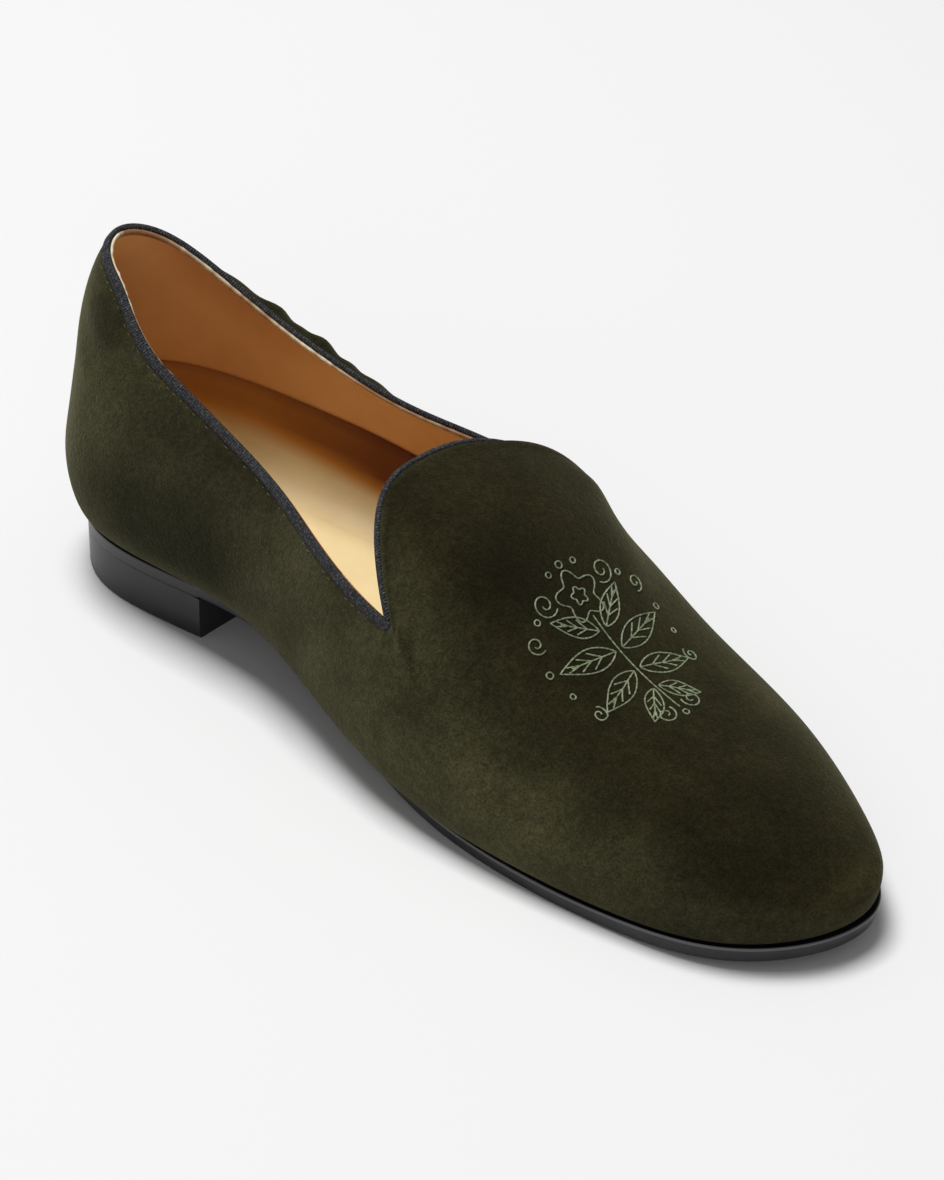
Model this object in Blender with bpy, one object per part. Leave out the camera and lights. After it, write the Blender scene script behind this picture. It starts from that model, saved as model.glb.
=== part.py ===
"""Slipper loafer for the wearer's left foot, every piece cut from the surface of one last.

Tables are in millimetres. Along runs from the heel's back to the toe, medial is the inner side of the
foot. The flat pattern has across from -1 (medial feather edge) over 0 (ridge) to 1 (lateral feather edge).
In the shoe's frame the toe points to -Y, lateral is +X and the floor is Z = 0.
"""
from collections import namedtuple
from math import pi

import bmesh
import bpy
import numpy as np

MM = 0.001

# Whole shoe
LENGTH = 297.0
HEEL_POLE = 47.0
BALL_POLE = 201.0
CENTRE_X = 4.71
CENTRE_ALONG = 146.27
GAP = 0.3

# Sole, heel and insole
SOLE_THICK = 4.5
SOLE_BOTTOM_INSET = 0.8
HEEL_HEIGHT = 15.0
HEEL_BREAST = 66.0
HEEL_INSET = 0.5
HEEL_TAPER = 0.2
SEAT_END = 68.0
TREAD_START = 187.0
TREAD_END = 217.0
TOE_SPRING = 4.5
INSOLE_THICK = 2.6
INSOLE_LIFT = 0.8
INSOLE_CLEAR = 3.4

# Upper
WALL = 2.2
LASTING_MARGIN = 9.0
TUCK = 4.0
CORNER_POWER = 2.6
RISE_POWER = 2.0
WIDEST = 0.72

# Topline, tongue and bindings
NOTCH = 155.0
CREST = 129.0
TONGUE_POWER = 2.2
QUARTER_BAND = 2.6
VAMP_BAND = 1.2
BAND_STEP = 1.1
BAND_PROUD = 0.5
BAND_EDGE = 0.1

# Numbers of columns and rows
SIDE_COLUMNS = 12
HEEL_COLUMNS = 9
FAN_COLUMNS = 6
TONGUE_COLUMNS = 13
FAN_END = 0.26
TOE_ROUND = 1.3
NOTCH_EASE = 0.6
WALL_ROWS = 14
MARGIN_ROWS = 2
BAND_ROWS = 2
PLATE_SHARES = (1.0, 0.9, 0.55, 0.0)

# Small steps for slopes and for finding the topline, and lengths that count as nothing
PROBE_ACROSS = 0.002
PROBE_ALONG = 0.2
TOPLINE_STEPS = 400
TINY_SHARE = 1e-9
SAME_POINT = 1e-6

EdgeRow = namedtuple("EdgeRow", "along medial lateral")
SOLE_EDGE = (
    EdgeRow(0, 0, 0),
    EdgeRow(18, 25, 25.5),
    EdgeRow(47, 28.5, 32),
    EdgeRow(103, 26, 39),
    EdgeRow(153, 40, 50),
    EdgeRow(201, 47, 54.5),
    EdgeRow(243, 44, 45.5),
    EdgeRow(274, 34.5, 28.5),
    EdgeRow(297, 0, 0),
)

# How far the upper swells past the sole's edge, and its widest line's height above the feather edge
SwellRow = namedtuple("SwellRow", "along medial lateral height")
SWELL = (
    SwellRow(0, 4.5, 4.5, 16),
    SwellRow(47, 6, 7, 22),
    SwellRow(103, 11, 9.5, 20),
    SwellRow(153, 8, 8.5, 16),
    SwellRow(201, 2.8, 3.1, 12),
    SwellRow(243, 0.6, 0.8, 9.5),
    SwellRow(297, -0.4, -0.4, 8.5),
)

# Crown of the last: its height above the floor, its offset to the lateral side, how square its arch is
RidgeRow = namedtuple("RidgeRow", "along height offset square")
RIDGE = (
    RidgeRow(0, 185, 0, 1.7),
    RidgeRow(23, 130, 0, 1.5),
    RidgeRow(47, 106, 0, 1.4),
    RidgeRow(73, 93, -1, 1.6),
    RidgeRow(103, 84, -2.5, 2.1),
    RidgeRow(129, 82.5, -2.5, 2.9),
    RidgeRow(163, 74.5, -2, 2.9),
    RidgeRow(201, 48.5, -3, 2.2),
    RidgeRow(238, 39.5, -3, 2.1),
    RidgeRow(265, 34, -3, 2.2),
    RidgeRow(297, 26, -3, 2.4),
)

# Height of the topline on each side
TopRow = namedtuple("TopRow", "along medial lateral")
TOPLINE = (
    TopRow(0, 109.5, 109.5),
    TopRow(23, 97, 96.5),
    TopRow(47, 87, 86.5),
    TopRow(103, 70, 70),
    TopRow(155, 59, 54.5),
)

PaintRow = namedtuple("PaintRow", "red green blue roughness")
PAINT = {
    "upper": PaintRow(0.036, 0.033, 0.014, 0.9),
    "quarter_binding": PaintRow(0.035, 0.034, 0.036, 0.8),
    "vamp_binding": PaintRow(0.035, 0.034, 0.036, 0.8),
    "insole": PaintRow(0.62, 0.48, 0.28, 0.6),
    "outsole": PaintRow(0.02, 0.019, 0.017, 0.5),
    "heel": PaintRow(0.012, 0.011, 0.01, 0.35),
}

Ray = namedtuple("Ray", "share side rim spine_along spine_x step_along step_x length")
Columns = namedtuple("Columns", "top lead rim band bound kind")


def smooth_curve(table, column):
    """Natural cubic spline through one named column of a table."""
    place = np.array([row.along for row in table], float)
    value = np.array([getattr(row, column) for row in table], float)
    gap = np.diff(place)
    last_row = len(place) - 1
    system = np.eye(len(place))
    target = np.zeros(len(place))
    for row in range(1, last_row):
        before, after = gap[row - 1], gap[row]
        system[row, row - 1:row + 2] = before, 2 * (before + after), after
        slope_before = (value[row] - value[row - 1]) / before
        slope_after = (value[row + 1] - value[row]) / after
        target[row] = 6 * (slope_after - slope_before)
    bend = np.linalg.solve(system, target)

    def curve(along):
        left = np.clip(np.searchsorted(place, along) - 1, 0, last_row - 1)
        far = (along - place[left]) / gap[left]
        near = 1 - far
        straight = near * value[left] + far * value[left + 1]
        bow = (near ** 3 - near) * bend[left] + (far ** 3 - far) * bend[left + 1]
        return straight + bow * gap[left] ** 2 / 6

    return curve


def squared(table):
    """The sole's edge with its breadths squared, so that both ends close round."""
    return tuple(EdgeRow(row.along, row.medial ** 2, row.lateral ** 2) for row in table)


MEDIAL_EDGE = smooth_curve(squared(SOLE_EDGE), "medial")
LATERAL_EDGE = smooth_curve(squared(SOLE_EDGE), "lateral")
MEDIAL_SWELL = smooth_curve(SWELL, "medial")
LATERAL_SWELL = smooth_curve(SWELL, "lateral")
SWELL_HEIGHT = smooth_curve(SWELL, "height")
RIDGE_HEIGHT = smooth_curve(RIDGE, "height")
RIDGE_OFFSET = smooth_curve(RIDGE, "offset")
RIDGE_SQUARE = smooth_curve(RIDGE, "square")
MEDIAL_TOPLINE = smooth_curve(TOPLINE, "medial")
LATERAL_TOPLINE = smooth_curve(TOPLINE, "lateral")


def edge_breadth(along, side):
    medial = np.sqrt(np.maximum(MEDIAL_EDGE(along), 0))
    lateral = np.sqrt(np.maximum(LATERAL_EDGE(along), 0))
    return np.where(side < 0, medial, lateral)


def swell(along, side):
    return np.where(side < 0, MEDIAL_SWELL(along), LATERAL_SWELL(along))


def sole_underside(along):
    """Height of the sole's underside: flat seat, arch, flat tread, toe spring."""
    arch = np.clip((along - SEAT_END) / (TREAD_START - SEAT_END), 0, 1)
    toe = np.clip((along - TREAD_END) / (LENGTH - TREAD_END), 0, None)
    return HEEL_HEIGHT * (1 - arch * arch * (3 - 2 * arch)) + TOE_SPRING * toe * toe


def sole_top(along):
    return sole_underside(along) + SOLE_THICK


def feather_height(along):
    return sole_top(along) + GAP


def rays(pattern):
    """The ray of each pattern point: out from the last's spine to the sole's edge."""
    across, along = pattern[..., 0], pattern[..., 1]
    toe_reach = LENGTH - BALL_POLE
    ahead = np.maximum(along - BALL_POLE, 0) / toe_reach
    behind = np.maximum(HEEL_POLE - along, 0) / HEEL_POLE
    end = ahead - behind
    share = np.maximum(np.hypot(across, end), TINY_SHARE)
    side = np.where(across < 0, -1.0, 1.0)
    rim = np.where(end > 0, BALL_POLE + toe_reach * end / share, along)
    rim = np.where(end < 0, HEEL_POLE + HEEL_POLE * end / share, rim)
    spine_along = np.clip(along, HEEL_POLE, BALL_POLE)
    spine_x = RIDGE_OFFSET(spine_along)
    run_along = rim - spine_along
    run_x = side * edge_breadth(rim, side) - spine_x
    length = np.hypot(run_along, run_x)
    return Ray(share, side, rim, spine_along, spine_x, run_along / length, run_x / length, length)


def last_surface(pattern):
    """Points (x, along, height) of the last's surface; past the feather edge it turns flat and inward."""
    ray = rays(pattern)
    bulge = swell(ray.rim, ray.side)
    widest = ray.length + bulge
    belt = feather_height(ray.rim) + SWELL_HEIGHT(ray.rim)
    arch = np.clip(ray.share / WIDEST, 0, 1) * pi / 2
    upper_run = widest * np.sin(arch)
    crown = RIDGE_HEIGHT(ray.spine_along + ray.step_along * upper_run)
    square = RIDGE_SQUARE(np.clip(pattern[..., 1], 0, LENGTH))
    rise = np.maximum(1 - np.sin(arch) ** square, 0) ** (1 / RISE_POWER)
    upper_height = belt + (crown - belt) * rise
    turn = np.clip((ray.share - WIDEST) / (1 - WIDEST), 0, 1) * pi / 2
    tuck = bulge + TUCK
    corner = 2 / CORNER_POWER
    margin = np.maximum(ray.share - 1, 0) * LENGTH
    lower_run = widest - tuck + tuck * np.maximum(np.cos(turn), 0) ** corner - margin
    foot = feather_height(ray.spine_along + ray.step_along * lower_run)
    lower_height = belt - (belt - foot) * np.sin(turn) ** corner
    lower = ray.share > WIDEST
    run = np.where(lower, lower_run, upper_run)
    height = np.where(lower, lower_height, upper_height)
    x = ray.spine_x + ray.step_x * run
    along = ray.spine_along + ray.step_along * run
    return np.stack([x, along, height], axis=-1)


def surface_normals(pattern):
    """Unit normals of the last's surface, pointing out of the shoe."""
    normal = unit(np.cross(*surface_steps(pattern)))
    ray = rays(pattern)
    middle_height = feather_height(ray.spine_along) + SWELL_HEIGHT(ray.spine_along)
    middle = np.stack([ray.spine_x, ray.spine_along, middle_height], axis=-1)
    outward = np.sum(normal * (last_surface(pattern) - middle), axis=-1, keepdims=True)
    return normal * np.where(outward < 0, -1.0, 1.0)


def along_ray(rim, share):
    """Pattern points at a share of the rays that end at the given rim points."""
    pole = np.clip(rim[..., 1], HEEL_POLE, BALL_POLE)
    across = rim[..., 0] * share
    along = pole + (rim[..., 1] - pole) * share
    return np.stack([across, along], axis=-1)


def topline_share(rim):
    """Share of each ray at which the surface, followed up from its widest line, reaches the topline."""
    height = np.where(rim[..., 0] < 0, MEDIAL_TOPLINE(rim[..., 1]), LATERAL_TOPLINE(rim[..., 1]))
    shares = np.linspace(WIDEST, 0, TOPLINE_STEPS)
    reached = np.stack([last_surface(along_ray(rim, share))[..., 2] for share in shares])
    above = np.argmax(reached > height, axis=0)
    ray = np.arange(len(rim))
    low, high = reached[above - 1, ray], reached[above, ray]
    part = (height - low) / (high - low)
    return shares[above - 1] + part * (shares[above] - shares[above - 1])


def quarter_rim():
    """Rim points from the medial notch back round the heel to the lateral notch."""
    side = np.linspace(NOTCH - 2 * NOTCH_EASE, HEEL_POLE, SIDE_COLUMNS + 1)[:-1]
    side = np.concatenate([[NOTCH, NOTCH - NOTCH_EASE], side])
    angle = np.linspace(0, pi, 2 * HEEL_COLUMNS + 1)
    across = np.concatenate([-np.ones(len(side)), -np.cos(angle), np.ones(len(side))])
    along = np.concatenate([side, HEEL_POLE * (1 - np.sin(angle)), side[::-1]])
    return np.stack([across, along], axis=-1)


def tongue_shares():
    """Shares of the tongue's edge from the lateral notch over the crest to the medial notch."""
    ease = NOTCH_EASE / (2 * (NOTCH - CREST) * TONGUE_POWER)
    even = np.linspace(2 * ease, 1 - 2 * ease, 2 * TONGUE_COLUMNS + 1)
    return np.concatenate([[0, ease], even, [1 - ease, 1]])


def tongue_edge(share, medial_reach, lateral_reach):
    """Pattern points of the tongue's edge."""
    side = 1 - 2 * share
    across = side * np.where(side > 0, lateral_reach, medial_reach)
    along = CREST + (NOTCH - CREST) * np.abs(side) ** TONGUE_POWER
    return np.stack([across, along], axis=-1)


def toe_rim(share):
    """Rim points from the lateral notch (share 0) round the toe to the medial notch (share 1)."""
    straight = BALL_POLE - NOTCH
    toe_reach = LENGTH - BALL_POLE
    half = straight + toe_reach * TOE_ROUND
    from_notch = np.minimum(share, 1 - share) * 2 * half
    angle = np.clip((from_notch - straight) / (half - straight), 0, 1) * pi / 2
    across = np.where(share <= 0.5, 1.0, -1.0) * np.cos(angle)
    along = NOTCH + np.minimum(from_notch, straight) + toe_reach * np.sin(angle)
    return np.stack([across, along], axis=-1)


def surface_steps(pattern):
    """How the surface moves for one unit across and for one millimetre along."""
    step_across = np.array([PROBE_ACROSS, 0.0])
    step_along = np.array([0.0, PROBE_ALONG])
    by_across = last_surface(pattern + step_across) - last_surface(pattern - step_across)
    by_along = last_surface(pattern + step_along) - last_surface(pattern - step_along)
    return by_across / (2 * PROBE_ACROSS), by_along / (2 * PROBE_ALONG)


def unit(vectors):
    return vectors / np.linalg.norm(vectors, axis=-1, keepdims=True)


def pattern_lead(pattern, direction):
    """Pattern step that moves the surface one millimetre in a direction of its tangent plane."""
    by_across, by_along = surface_steps(pattern)
    aa = np.sum(by_across * by_across, axis=-1)
    bb = np.sum(by_along * by_along, axis=-1)
    ab = np.sum(by_across * by_along, axis=-1)
    a = np.sum(direction * by_across, axis=-1)
    b = np.sum(direction * by_along, axis=-1)
    spread = aa * bb - ab * ab
    return np.stack([(a * bb - b * ab) / spread, (b * aa - a * ab) / spread], axis=-1)


def edge_direction(pattern):
    """Direction in the surface, square to an open edge, that leads into the upper."""
    run = np.gradient(last_surface(pattern), axis=0)
    return unit(np.cross(unit(run), surface_normals(pattern)))


def notch_fan(corner, first, last):
    """Directions that turn in the surface at a notch from one edge's lead to the other's."""
    normal = surface_normals(corner[None])[0]
    side = np.cross(normal, first)
    turn = np.arctan2(np.dot(last, side), np.dot(last, first))
    angle = turn * np.arange(1, FAN_COLUMNS) / FAN_COLUMNS
    return np.cos(angle)[:, None] * first + np.sin(angle)[:, None] * side


def columns_round():
    """All columns of the upper, one closed round from the medial notch over heel, toe and back."""
    quarter = quarter_rim()
    reach = topline_share(quarter)
    quarter_top = along_ray(quarter, reach)
    share = tongue_shares()
    tongue_top = tongue_edge(share, reach[0], reach[-1])
    quarter_lead = edge_direction(quarter_top)
    tongue_lead = edge_direction(tongue_top)
    lateral, medial = quarter_top[-1], quarter_top[0]
    lateral_fan = notch_fan(lateral, quarter_lead[-1], tongue_lead[0])
    medial_fan = notch_fan(medial, tongue_lead[-1], quarter_lead[0])
    fan = np.arange(1, FAN_COLUMNS) / FAN_COLUMNS
    top = np.concatenate([
        quarter_top, np.tile(lateral, (len(fan), 1)), tongue_top, np.tile(medial, (len(fan), 1))])
    direction = np.concatenate([quarter_lead, lateral_fan, tongue_lead, medial_fan])
    rim = np.concatenate([
        quarter, toe_rim(fan * FAN_END), toe_rim(FAN_END + share * (1 - 2 * FAN_END)),
        toe_rim(1 - FAN_END + fan * FAN_END)])
    narrow = QUARTER_BAND + (VAMP_BAND - QUARTER_BAND) * fan
    band = np.concatenate([
        np.full(len(quarter), QUARTER_BAND), narrow, np.full(len(share), VAMP_BAND), narrow[::-1]])
    kind = np.repeat(["quarter", "fan", "tongue", "fan"], [len(quarter), len(fan), len(share), len(fan)])
    bound = kind != "fan"
    tongue_start = len(quarter) + len(fan)
    for corner in (0, len(quarter) - 1, tongue_start, tongue_start + len(share) - 1):
        bound[corner] = False
    return Columns(top, pattern_lead(top, direction), rim, band, bound, kind)


def to_frame(points):
    """Points (x, along, height) in millimetres to the shoe's frame in metres."""
    x = points[..., 0] - CENTRE_X
    y = CENTRE_ALONG - points[..., 1]
    return np.stack([x, y, points[..., 2]], axis=-1).reshape(-1, 3) * MM


def new_collection(name):
    collection = bpy.data.collections.new(name)
    bpy.context.scene.collection.children.link(collection)
    return collection


def add_piece(collection, name, points, faces):
    """One closed solid with its own material."""
    shape = bmesh.new()
    corners = [shape.verts.new(point) for point in points.tolist()]
    for face in faces:
        shape.faces.new([corners[corner] for corner in face])
    bmesh.ops.remove_doubles(shape, verts=shape.verts, dist=SAME_POINT)
    bmesh.ops.triangulate(shape, faces=[face for face in shape.faces if len(face.verts) > 4])
    bmesh.ops.recalc_face_normals(shape, faces=shape.faces)
    mesh = bpy.data.meshes.new(name)
    shape.to_mesh(mesh)
    shape.free()
    paint = PAINT[name]
    material = bpy.data.materials.new(name)
    material.use_nodes = True
    surface = material.node_tree.nodes["Principled BSDF"]
    surface.inputs["Base Color"].default_value = (paint.red, paint.green, paint.blue, 1.0)
    surface.inputs["Roughness"].default_value = paint.roughness
    mesh.materials.append(material)
    piece = bpy.data.objects.new(name, mesh)
    collection.objects.link(piece)


def grid_faces(columns, rows, start, ring):
    """Quads over a grid of columns and rows whose corners begin at a given number."""
    faces = []
    for column in range(columns if ring else columns - 1):
        after = (column + 1) % columns
        for row in range(rows - 1):
            here = start + column * rows + row
            there = start + after * rows + row
            faces.append((here, there, there + 1, here + 1))
    return faces


def wall_faces(columns, rows, ring):
    """Faces of a closed wall: outer grid, inner grid, both rims and, if it isn't a ring, both ends."""
    inner = columns * rows
    faces = grid_faces(columns, rows, 0, ring) + grid_faces(columns, rows, inner, ring)
    for column in range(columns if ring else columns - 1):
        after = (column + 1) % columns
        for row in (0, rows - 1):
            here = column * rows + row
            there = after * rows + row
            faces.append((here, there, inner + there, inner + here))
    if not ring:
        for column in (0, columns - 1):
            for row in range(rows - 1):
                here = column * rows + row
                faces.append((here, here + 1, inner + here + 1, inner + here))
    return faces


def add_wall(collection, name, pattern, outer, inner, ring):
    """A wall between two offsets of the last's surface."""
    surface = last_surface(pattern)
    normal = surface_normals(pattern)
    outer_skin = surface + normal * outer[..., None]
    inner_skin = surface + normal * inner[..., None]
    points = np.concatenate([to_frame(outer_skin), to_frame(inner_skin)])
    columns, rows = pattern.shape[:2]
    add_piece(collection, name, points, wall_faces(columns, rows, ring))


def add_upper(collection, columns):
    """The hollow upper: a thin edge under the bindings, a step, the full wall and the lasting margin."""
    band_end = columns.top + columns.lead * columns.band[:, None]
    step_end = columns.top + columns.lead * (columns.band + GAP)[:, None]
    rows = [columns.top, band_end]
    for row in range(WALL_ROWS + 1):
        rows.append(step_end + (columns.rim - step_end) * row / WALL_ROWS)
    for row in range(1, MARGIN_ROWS + 1):
        rows.append(along_ray(columns.rim, 1 + LASTING_MARGIN / LENGTH * row / MARGIN_ROWS))
    pattern = np.stack(rows, axis=1)
    outer = np.zeros(pattern.shape[:2])
    outer[columns.bound, :2] = -BAND_STEP
    inner = np.full(pattern.shape[:2], -WALL)
    add_wall(collection, "upper", pattern, outer, inner, True)


def add_binding(collection, name, columns, kind):
    """A domed strip that lies in the upper's step along one of its edges."""
    covered = np.flatnonzero(columns.bound & (columns.kind == kind))[1:-1]
    across = np.linspace(0, 1, BAND_ROWS + 1)
    run = columns.lead[covered] * columns.band[covered, None]
    pattern = columns.top[covered, None] + across[None, :, None] * run[:, None]
    dome = BAND_EDGE + (BAND_PROUD - BAND_EDGE) * np.sin(across * pi)
    outer = np.broadcast_to(dome, pattern.shape[:2])
    inner = np.full(pattern.shape[:2], GAP - BAND_STEP)
    add_wall(collection, name, pattern, outer, inner, False)


def rim_plan(rim, outset):
    """Plan of an edge: its spine and how far each ray goes to the sole's edge and past it."""
    ray = rays(rim)
    spine = np.stack([ray.spine_x, ray.spine_along], axis=-1)
    run = np.stack([ray.step_x, ray.step_along], axis=-1) * (ray.length + outset)[:, None]
    return spine, run


def add_plate(collection, name, rim, top_outset, bottom_outset, top_height, bottom_height):
    """A closed plate over the sole's plan, with outsets of its edge at the top and at the bottom."""
    points = []
    for outset, height in ((top_outset, top_height), (bottom_outset, bottom_height)):
        spine, run = rim_plan(rim, outset)
        rows = np.stack([spine + share * run for share in PLATE_SHARES], axis=1)
        points.append(to_frame(np.concatenate([rows, height(rows[..., 1:])], axis=-1)))
    columns, rows = len(rim), len(PLATE_SHARES)
    bottom = columns * rows
    faces = grid_faces(columns, rows, 0, True) + grid_faces(columns, rows, bottom, True)
    for column in range(columns):
        here, there = column * rows, (column + 1) % columns * rows
        faces.append((here, there, bottom + there, bottom + here))
    add_plate_piece(collection, name, np.concatenate(points), faces)


def add_plate_piece(collection, name, points, faces):
    """Leaves out the faces that have no area along the plate's spine, then makes the piece."""
    kept = []
    for face in faces:
        corners = []
        for corner in face:
            if all(np.linalg.norm(points[corner] - points[other]) > SAME_POINT for other in corners):
                corners.append(corner)
        if len(corners) > 2:
            kept.append(corners)
    add_piece(collection, name, points, kept)


def insole_outset(rim):
    """How far the insole's edge lies past the sole's edge, clear of the upper's inner wall."""
    ray = rays(rim)
    bulge = swell(ray.rim, ray.side)
    belt = SWELL_HEIGHT(ray.rim)
    tuck = bulge + TUCK
    drop = (belt - INSOLE_LIFT) / belt
    return bulge - tuck + tuck * (1 - drop ** CORNER_POWER) ** (1 / CORNER_POWER) - INSOLE_CLEAR


def heel_outline(inset):
    """Plan of the heel from the medial end of its breast round the back to the lateral end."""
    angle = np.linspace(0, pi, 4 * HEEL_COLUMNS + 1)
    across = np.concatenate([[-1.0], -np.cos(angle), [1.0]])
    along = np.concatenate([[HEEL_BREAST], HEEL_POLE * (1 - np.sin(angle)), [HEEL_BREAST]])
    spine, run = rim_plan(np.stack([across, along], axis=-1), -inset)
    return spine + run


def add_heel(collection):
    """The heel block: a flat foot on the floor, a straight breast and a slight taper."""
    foot = heel_outline(HEEL_INSET + HEEL_TAPER)
    seat = heel_outline(HEEL_INSET)
    count = len(foot)
    heights = (np.zeros((count, 1)), np.full((count, 1), HEEL_HEIGHT - GAP))
    loops = [np.concatenate([plan, height], axis=-1) for plan, height in zip((foot, seat), heights)]
    points = to_frame(np.concatenate(loops))
    faces = [tuple(range(count)), tuple(range(count, 2 * count))]
    for corner in range(count):
        after = (corner + 1) % count
        faces.append((corner, after, count + after, count + corner))
    add_piece(collection, "heel", points, faces)


def insole_bottom(along):
    return feather_height(along) + WALL + GAP


def insole_top(along):
    return insole_bottom(along) + INSOLE_THICK


def build():
    for thing in list(bpy.data.objects):
        bpy.data.objects.remove(thing)
    collection = new_collection("slipper_loafer")
    columns = columns_round()
    rim = columns.rim
    no_outset = np.zeros(len(rim))
    add_plate(collection, "outsole", rim, no_outset, no_outset - SOLE_BOTTOM_INSET, sole_top, sole_underside)
    add_heel(collection)
    add_upper(collection, columns)
    add_binding(collection, "quarter_binding", columns, "quarter")
    add_binding(collection, "vamp_binding", columns, "tongue")
    outset = insole_outset(rim)
    add_plate(collection, "insole", rim, outset, outset, insole_top, insole_bottom)


build()
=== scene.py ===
"""Looks of a velvet slipper loafer, laid over the surface of the last that its solids are cut from.

Tables are in millimetres. Along runs from the heel's back to the toe, medial is the inner side of the
foot. The flat pattern has across from -1 (medial feather edge) over 0 (ridge) to 1 (lateral feather edge).
In the shoe's frame the toe points to -Y, lateral is +X and the floor is Z = 0.
"""

from collections import namedtuple
from math import pi, radians

import bmesh
import bpy
import numpy as np
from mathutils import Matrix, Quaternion, Vector


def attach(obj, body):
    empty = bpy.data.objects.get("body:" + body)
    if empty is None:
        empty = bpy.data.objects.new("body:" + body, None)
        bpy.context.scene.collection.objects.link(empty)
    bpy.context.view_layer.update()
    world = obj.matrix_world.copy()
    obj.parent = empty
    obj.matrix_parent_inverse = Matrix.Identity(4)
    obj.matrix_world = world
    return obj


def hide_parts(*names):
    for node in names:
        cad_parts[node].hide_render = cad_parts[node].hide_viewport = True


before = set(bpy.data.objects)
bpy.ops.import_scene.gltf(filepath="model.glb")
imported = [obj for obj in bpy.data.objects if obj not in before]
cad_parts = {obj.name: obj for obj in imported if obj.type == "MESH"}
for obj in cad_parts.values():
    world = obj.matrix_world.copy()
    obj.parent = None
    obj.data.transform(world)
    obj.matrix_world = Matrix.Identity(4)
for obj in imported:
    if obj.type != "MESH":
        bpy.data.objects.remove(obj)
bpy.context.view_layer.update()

MM = 0.001


def table(columns, *rows):
    """Rows with named columns."""
    row_kind = namedtuple("row_kind", columns)
    return tuple(row_kind(*row) for row in rows)


# Whole shoe
LENGTH = 297.0
HEEL_POLE = 47.0
BALL_POLE = 201.0
TOE_REACH = LENGTH - BALL_POLE
CENTRE_X = 4.71
CENTRE_ALONG = 146.27
GAP = 0.3

# Sole, heel and insole
SOLE_THICK = 4.5
SOLE_BOTTOM_INSET = 0.8
HEEL_HEIGHT = 15.0
HEEL_BREAST = 66.0
HEEL_INSET = 0.5
HEEL_TAPER = 0.2
SEAT_END = 68.0
TREAD_START = 187.0
TREAD_END = 217.0
TOE_SPRING = 4.5
INSOLE_THICK = 2.6
INSOLE_LIFT = 0.8
INSOLE_CLEAR = 3.4

# Upper
WALL = 2.2
LASTING_MARGIN = 9.0
TUCK = 4.0
CORNER_POWER = 2.6
RISE_POWER = 2.0
WIDEST = 0.72

# Topline, tongue and bindings
NOTCH = 155.0
CREST = 129.0
TONGUE_POWER = 2.2
QUARTER_BAND = 2.6
VAMP_BAND = 1.2

# Numbers of columns and rows, and how they are spread
SIDE_COLUMNS = 84
HEEL_COLUMNS = 40
FAN_COLUMNS = 20
TONGUE_COLUMNS = 56
FAN_END = 0.26
TOE_ROUND = 1.3
NOTCH_EASE = 0.6
WALL_ROWS = 80
LINING_ROWS = 40
MARGIN_SHARES = (0.15, 0.5, 1.0)

# Small steps for slopes and for finding the topline, and lengths that count as nothing
PROBE_ACROSS = 0.002
PROBE_ALONG = 0.2
TOPLINE_STEPS = 400
TINY_SHARE = 1e-9
SAME_POINT = 1e-6

# Breadth of the sole on each side of the line from heel to toe
SOLE_EDGE = table(
    "along medial lateral",
    (0, 0, 0),
    (18, 25, 25.5),
    (47, 28.5, 32),
    (103, 26, 39),
    (153, 40, 50),
    (201, 47, 54.5),
    (243, 44, 45.5),
    (274, 34.5, 28.5),
    (297, 0, 0),
)

# How far the upper swells past the sole's edge, and its widest line's height above the feather edge
SWELL = table(
    "along medial lateral height",
    (0, 4.5, 4.5, 16),
    (47, 6, 7, 22),
    (103, 11, 9.5, 20),
    (153, 8, 8.5, 16),
    (201, 2.8, 3.1, 12),
    (243, 0.6, 0.8, 9.5),
    (297, -0.4, -0.4, 8.5),
)

# Crown of the last: its height above the floor, its offset to the lateral side, how square its arch is
RIDGE = table(
    "along height offset square",
    (0, 185, 0, 1.7),
    (23, 130, 0, 1.5),
    (47, 106, 0, 1.4),
    (73, 93, -1, 1.6),
    (103, 84, -2.5, 2.1),
    (129, 82.5, -2.5, 2.9),
    (163, 74.5, -2, 2.9),
    (201, 48.5, -3, 2.2),
    (238, 39.5, -3, 2.1),
    (265, 34, -3, 2.2),
    (297, 26, -3, 2.4),
)

# Height of the topline on each side
TOPLINE = table(
    "along medial lateral",
    (0, 109.5, 109.5),
    (23, 97, 96.5),
    (47, 87, 86.5),
    (103, 70, 70),
    (155, 59, 54.5),
)

# Layers of the wall and the ribbons
VELVET_THICK = 1.1
VELVET_DIP = 0.35
LAYER_GAP = 0.05
RIBBON_LIMIT = 0.4
EDGE_SHARES = (0.0, 0.4, 0.8)
FACE_ROWS = 7
FOLD_ROWS = 9
FACE_SLOPE = 3.0
RIBBON_PROUD = 0.5
RIBBON_EDGE = 0.05
RIBBON_BACK = 1.25
RIBBON_RISE = 0.55
RIBBON_TURN = 1.6
RIBBON_INSIDE = 0.5
RIB_DEPTH = 0.12

# The sock's raised edge
SOCK_SHARE = 0.655
SOCK_STAND = 0.9
SOCK_REACH = 12.0
SOCK_ROWS = 16

# Painted shade on the sock's raised edge: shares of the way down the sock at which the brown painted shade
# ends and the cream begins, and the least paleness
SOCK_PAINTED_SHADE = table(
    "along end cream least",
    (0, 0.05, 0.4, 0.36),
    (35, 0.08, 0.38, 0.3),
    (80, 0.24, 0.46, 0.06),
    (120, 0.38, 0.56, 0.03),
    (290, 0.4, 0.6, 0.0),
)

# Insole board: shares of its plan at which its underside and its top have points
INSOLE_BOTTOM_SHARES = (0.0, 0.5, 0.95, 1.0)
INSOLE_TOP_SHARES = (1.0, 0.97, 0.9, 0.7, 0.5, 0.25, 0.0)

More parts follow.
